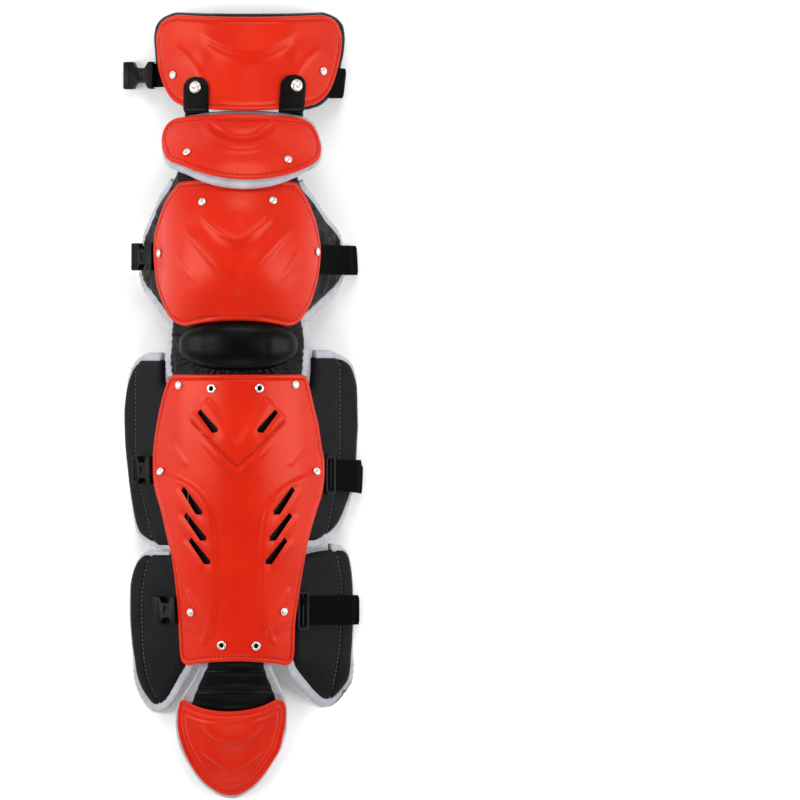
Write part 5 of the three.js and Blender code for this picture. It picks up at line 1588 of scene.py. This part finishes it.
# %% Helper for a row of stitches
def stitch_row(name, arc, y, layer, pitch, length, radius, thread_finish, slot, across=False,
               closed=False):
    """Stitches along a line on a layered surface; across turns each one square to the line."""
    arc, y = np.asarray(arc, float), np.asarray(y, float)
    walked = np.concatenate([[0], np.cumsum(np.hypot(np.diff(arc), np.diff(y)))])
    starts = np.arange(pitch / 2, walked[-1] - (0 if closed else pitch / 2), pitch)
    middle_arc, middle_y = np.interp(starts, walked, arc), np.interp(starts, walked, y)
    ahead_arc = np.interp(starts + 0.5, walked, arc) - np.interp(starts - 0.5, walked, arc)
    ahead_y = np.interp(starts + 0.5, walked, y) - np.interp(starts - 0.5, walked, y)
    size = np.maximum(np.hypot(ahead_arc, ahead_y), 1e-6)
    run = np.stack([ahead_arc, ahead_y], -1) / size[:, None]
    if across:
        run = np.stack([-run[:, 1], run[:, 0]], -1)
    shares = np.array([-1, -0.8, -0.3, 0.3, 0.8, 1])
    swell = np.array([0.35, 0.8, 1, 1, 0.8, 0.35])
    dip = np.array([-1.3, -0.2, 0.35, 0.35, -0.2, -1.3]) * radius
    line_arc = middle_arc[:, None] + run[:, :1] * shares * length / 2
    line_y = middle_y[:, None] + run[:, 1:] * shares * length / 2
    base = place(line_arc, line_y, layer(line_arc, line_y))
    along = np.gradient(base, axis=1)
    along /= np.linalg.norm(along, axis=-1, keepdims=True)
    tip = place(line_arc, line_y, layer(line_arc, line_y) + 1) - base
    side = np.cross(along, tip)
    side /= np.linalg.norm(side, axis=-1, keepdims=True)
    up = np.cross(side, along)
    turns = np.linspace(0, 2 * math.pi, 6, endpoint=False)
    centre = base + up * dip[None, :, None]
    rings = (centre[:, :, None] + radius * swell[None, :, None, None]
             * (side[:, :, None] * np.cos(turns)[None, None, :, None]
                + up[:, :, None] * np.sin(turns)[None, None, :, None]))
    index = np.arange(6 * 6).reshape(6, 6)
    beside = np.roll(index, -1, 1)
    one = np.stack([index[:-1], beside[:-1], beside[1:], index[1:]], -1).reshape(-1, 4)
    faces = (one[None] + 36 * np.arange(len(starts))[:, None, None]).reshape(-1, 4).tolist()
    caps = index[0, ::-1], index[-1]
    faces += [(cap + 36 * k).tolist() for k in range(len(starts)) for cap in caps]
    points = rings.reshape(-1, 3)
    points[:, 2] = np.maximum(points[:, 2], 0)
    sample = facing_out(points[:36], faces[:25] + [cap.tolist() for cap in caps])
    if sample[0] != faces[0]:
        faces = [face[::-1] for face in faces]
    return make_piece(name, points, faces, slot, fine=thread_finish)


def inset_line(grid, inset, stretch=1.1):
    """The border of a grid moved inwards by inset, without the points that fold over."""
    arc, y, _ = grid
    flat_x, border_y = rim_of(arc) * stretch, rim_of(y)
    length = np.concatenate([[0], np.cumsum(np.hypot(np.diff(flat_x), np.diff(border_y)))])
    even = np.linspace(0, length[-1], int(length[-1] / 1.5))
    px, py = np.interp(even, length, flat_x), np.interp(even, length, border_y)
    dx, dy = np.roll(px, -1) - np.roll(px, 1), np.roll(py, -1) - np.roll(py, 1)
    size = np.maximum(np.hypot(dx, dy), 1e-6)
    inward_x, inward_y = -dy / size, dx / size
    middle_x, middle_y = px.mean(), py.mean()
    if np.mean(inward_x * (middle_x - px) + inward_y * (middle_y - py)) < 0:
        inward_x, inward_y = -inward_x, -inward_y
    qx, qy = px + inset * inward_x, py + inset * inward_y
    border = np.stack([np.append(px, px[0]), np.append(py, py[0])], -1)
    keep = to_line(qx, qy, border) > inset * 0.97
    qx, qy = qx[keep], qy[keep]
    return np.append(qx, qx[0]) / stretch, np.append(qy, qy[0])


# %% Stitches of the plates, the wings and the bindings
for name in ("thigh_plate", "band_plate", "knee_plate", "shin_plate"):
    line_arc, line_y = inset_line(plate_grids[name], groove_inset)
    stitch_row(f"{name}_stitches", line_arc, line_y,
               lambda arc, y: plate_back[name](arc, y) + plate_thickness - 0.42,
               3.4, 2.5, 0.42, red_thread, "red_plastic", closed=True)
for name, (line_arc, line_y) in wing_lines.items():
    stitch_row(f"{name}_stitches", line_arc, line_y, lambda arc, y: pad_thickness - 1.3 + 0 * arc,
               4.2, 2.9, 0.33, grey_thread, "charcoal_leather")
for name, (line_arc, line_y) in overlock_lines.items():
    stitch_row(f"{name}_stitches", line_arc, line_y, lambda arc, y: 5.6 + 0 * arc, 3.1, 2.4, 0.3,
               silver_thread, "silver_fabric", across=True)
print("stitches made")

# %% [markdown]
# ## Clasps and what is left of the solids
# The clasps on the free ends lie out of sight under the guard, so their plain solids stay and only
# take the buckles' finish.

# %% The clasps
for name, *_ in straps:
    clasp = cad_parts[f"{name}_clasp"]
    clasp.data.materials.clear()
    clasp.data.materials.append(finishes["black_plastic"])

# %% [markdown]
# ## Floor, light and camera
# The picture was taken straight from above with a long lens. Two long softboxes stand beside the
# guard and weaker ones beyond its top and its foot, and a small high one picks out the bulges:
# satin plates then get pale flanks and a deep red middle. The walls are pale and the ceiling dark,
# so that black stays black.
# The camera hangs eight metres up, so that it sees the guard almost without perspective.

# %% Stage
def softbox(name, where, look_at, size, power):
    light = bpy.data.lights.new(name, "AREA")
    light.shape, light.size, light.size_y, light.energy = "RECTANGLE", size[0], size[1], power
    lamp = bpy.data.objects.new(name, light)
    bpy.context.scene.collection.objects.link(lamp)
    lamp.location = where
    lamp.rotation_euler = (Vector(look_at) - Vector(where)).to_track_quat("-Z", "Y").to_euler()
    return lamp


floor_half = 6.0
floor_mesh = bpy.data.meshes.new("floor")
floor_mesh.from_pydata([(-floor_half, -floor_half, 0), (floor_half, -floor_half, 0),
                        (floor_half, floor_half, 0), (-floor_half, floor_half, 0)], [],
                       [(0, 1, 2, 3)])
floor = bpy.data.objects.new("floor", floor_mesh)
bpy.context.scene.collection.objects.link(floor)
floor_finish = Finish("floor_paper", on_cut=False)
floor_finish.colour(floor_finish.noise(900, 2), "f4f4f4", "fafafa")
floor_finish.relief(floor_finish.noise(3, 2), 0.02)
floor_mesh.materials.append(floor_finish.set(Roughness=0.9, Specular_IOR_Level=0.1,
                                            Emission_Color=(1, 1, 1, 1), Emission_Strength=0.16))

world = bpy.data.worlds.new("studio")
world.use_nodes = True
nodes, links = world.node_tree.nodes, world.node_tree.links
direction = nodes.new("ShaderNodeTexCoord")
parts = nodes.new("ShaderNodeSeparateXYZ")
walls = nodes.new("ShaderNodeValToRGB")
walls.color_ramp.elements[0].position, walls.color_ramp.elements[1].position = 0.35, 0.95
walls.color_ramp.elements[0].color = (1, 1, 1, 1)
walls.color_ramp.elements[1].color = (0.07, 0.07, 0.07, 1)
links.new(direction.outputs["Generated"], parts.inputs[0])
links.new(parts.outputs["Z"], walls.inputs["Fac"])
links.new(walls.outputs["Color"], nodes["Background"].inputs["Color"])
nodes["Background"].inputs["Strength"].default_value = 0.62
bpy.context.scene.world = world
softbox("left_softbox", (-1.6, 0.1, 1.25), (0, 0, 0.05), (0.7, 2.0), 29)
softbox("right_softbox", (1.7, -0.1, 1.25), (0, 0, 0.05), (0.7, 2.0), 27)
softbox("high_softbox", (0.05, 0.75, 2.4), (0, 0.1, 0.05), (0.45, 0.25), 3)
softbox("head_softbox", (0.1, 1.9, 1.7), (0, 0, 0.05), (1.6, 0.7), 24)
softbox("foot_softbox", (0, -2.0, 1.5), (0, -0.2, 0.02), (1.4, 0.7), 7)

# The picture's middle, its width at the guard, and how far up the camera hangs, in metres
picture_middle, picture_width = (0.1502, 0.0060), 0.760
camera_height, middle_layer = 8.0, 0.055
camera_data = bpy.data.cameras.new("picture_camera")
camera_data.sensor_width = 36
camera_data.lens = 36 * (camera_height - middle_layer) / picture_width
camera_data.clip_end = 30
camera = bpy.data.objects.new("picture_camera", camera_data)
camera.location = (*picture_middle, camera_height)
bpy.context.scene.collection.objects.link(camera)
bpy.context.scene.camera = camera
bpy.context.scene.view_settings.view_transform = "Standard"
bpy.context.scene.view_settings.look = "None"

# %% Sizes, and the end
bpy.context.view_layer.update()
print(sum(triangles_made.values()), "triangles, most in",
      max(triangles_made, key=triangles_made.get))
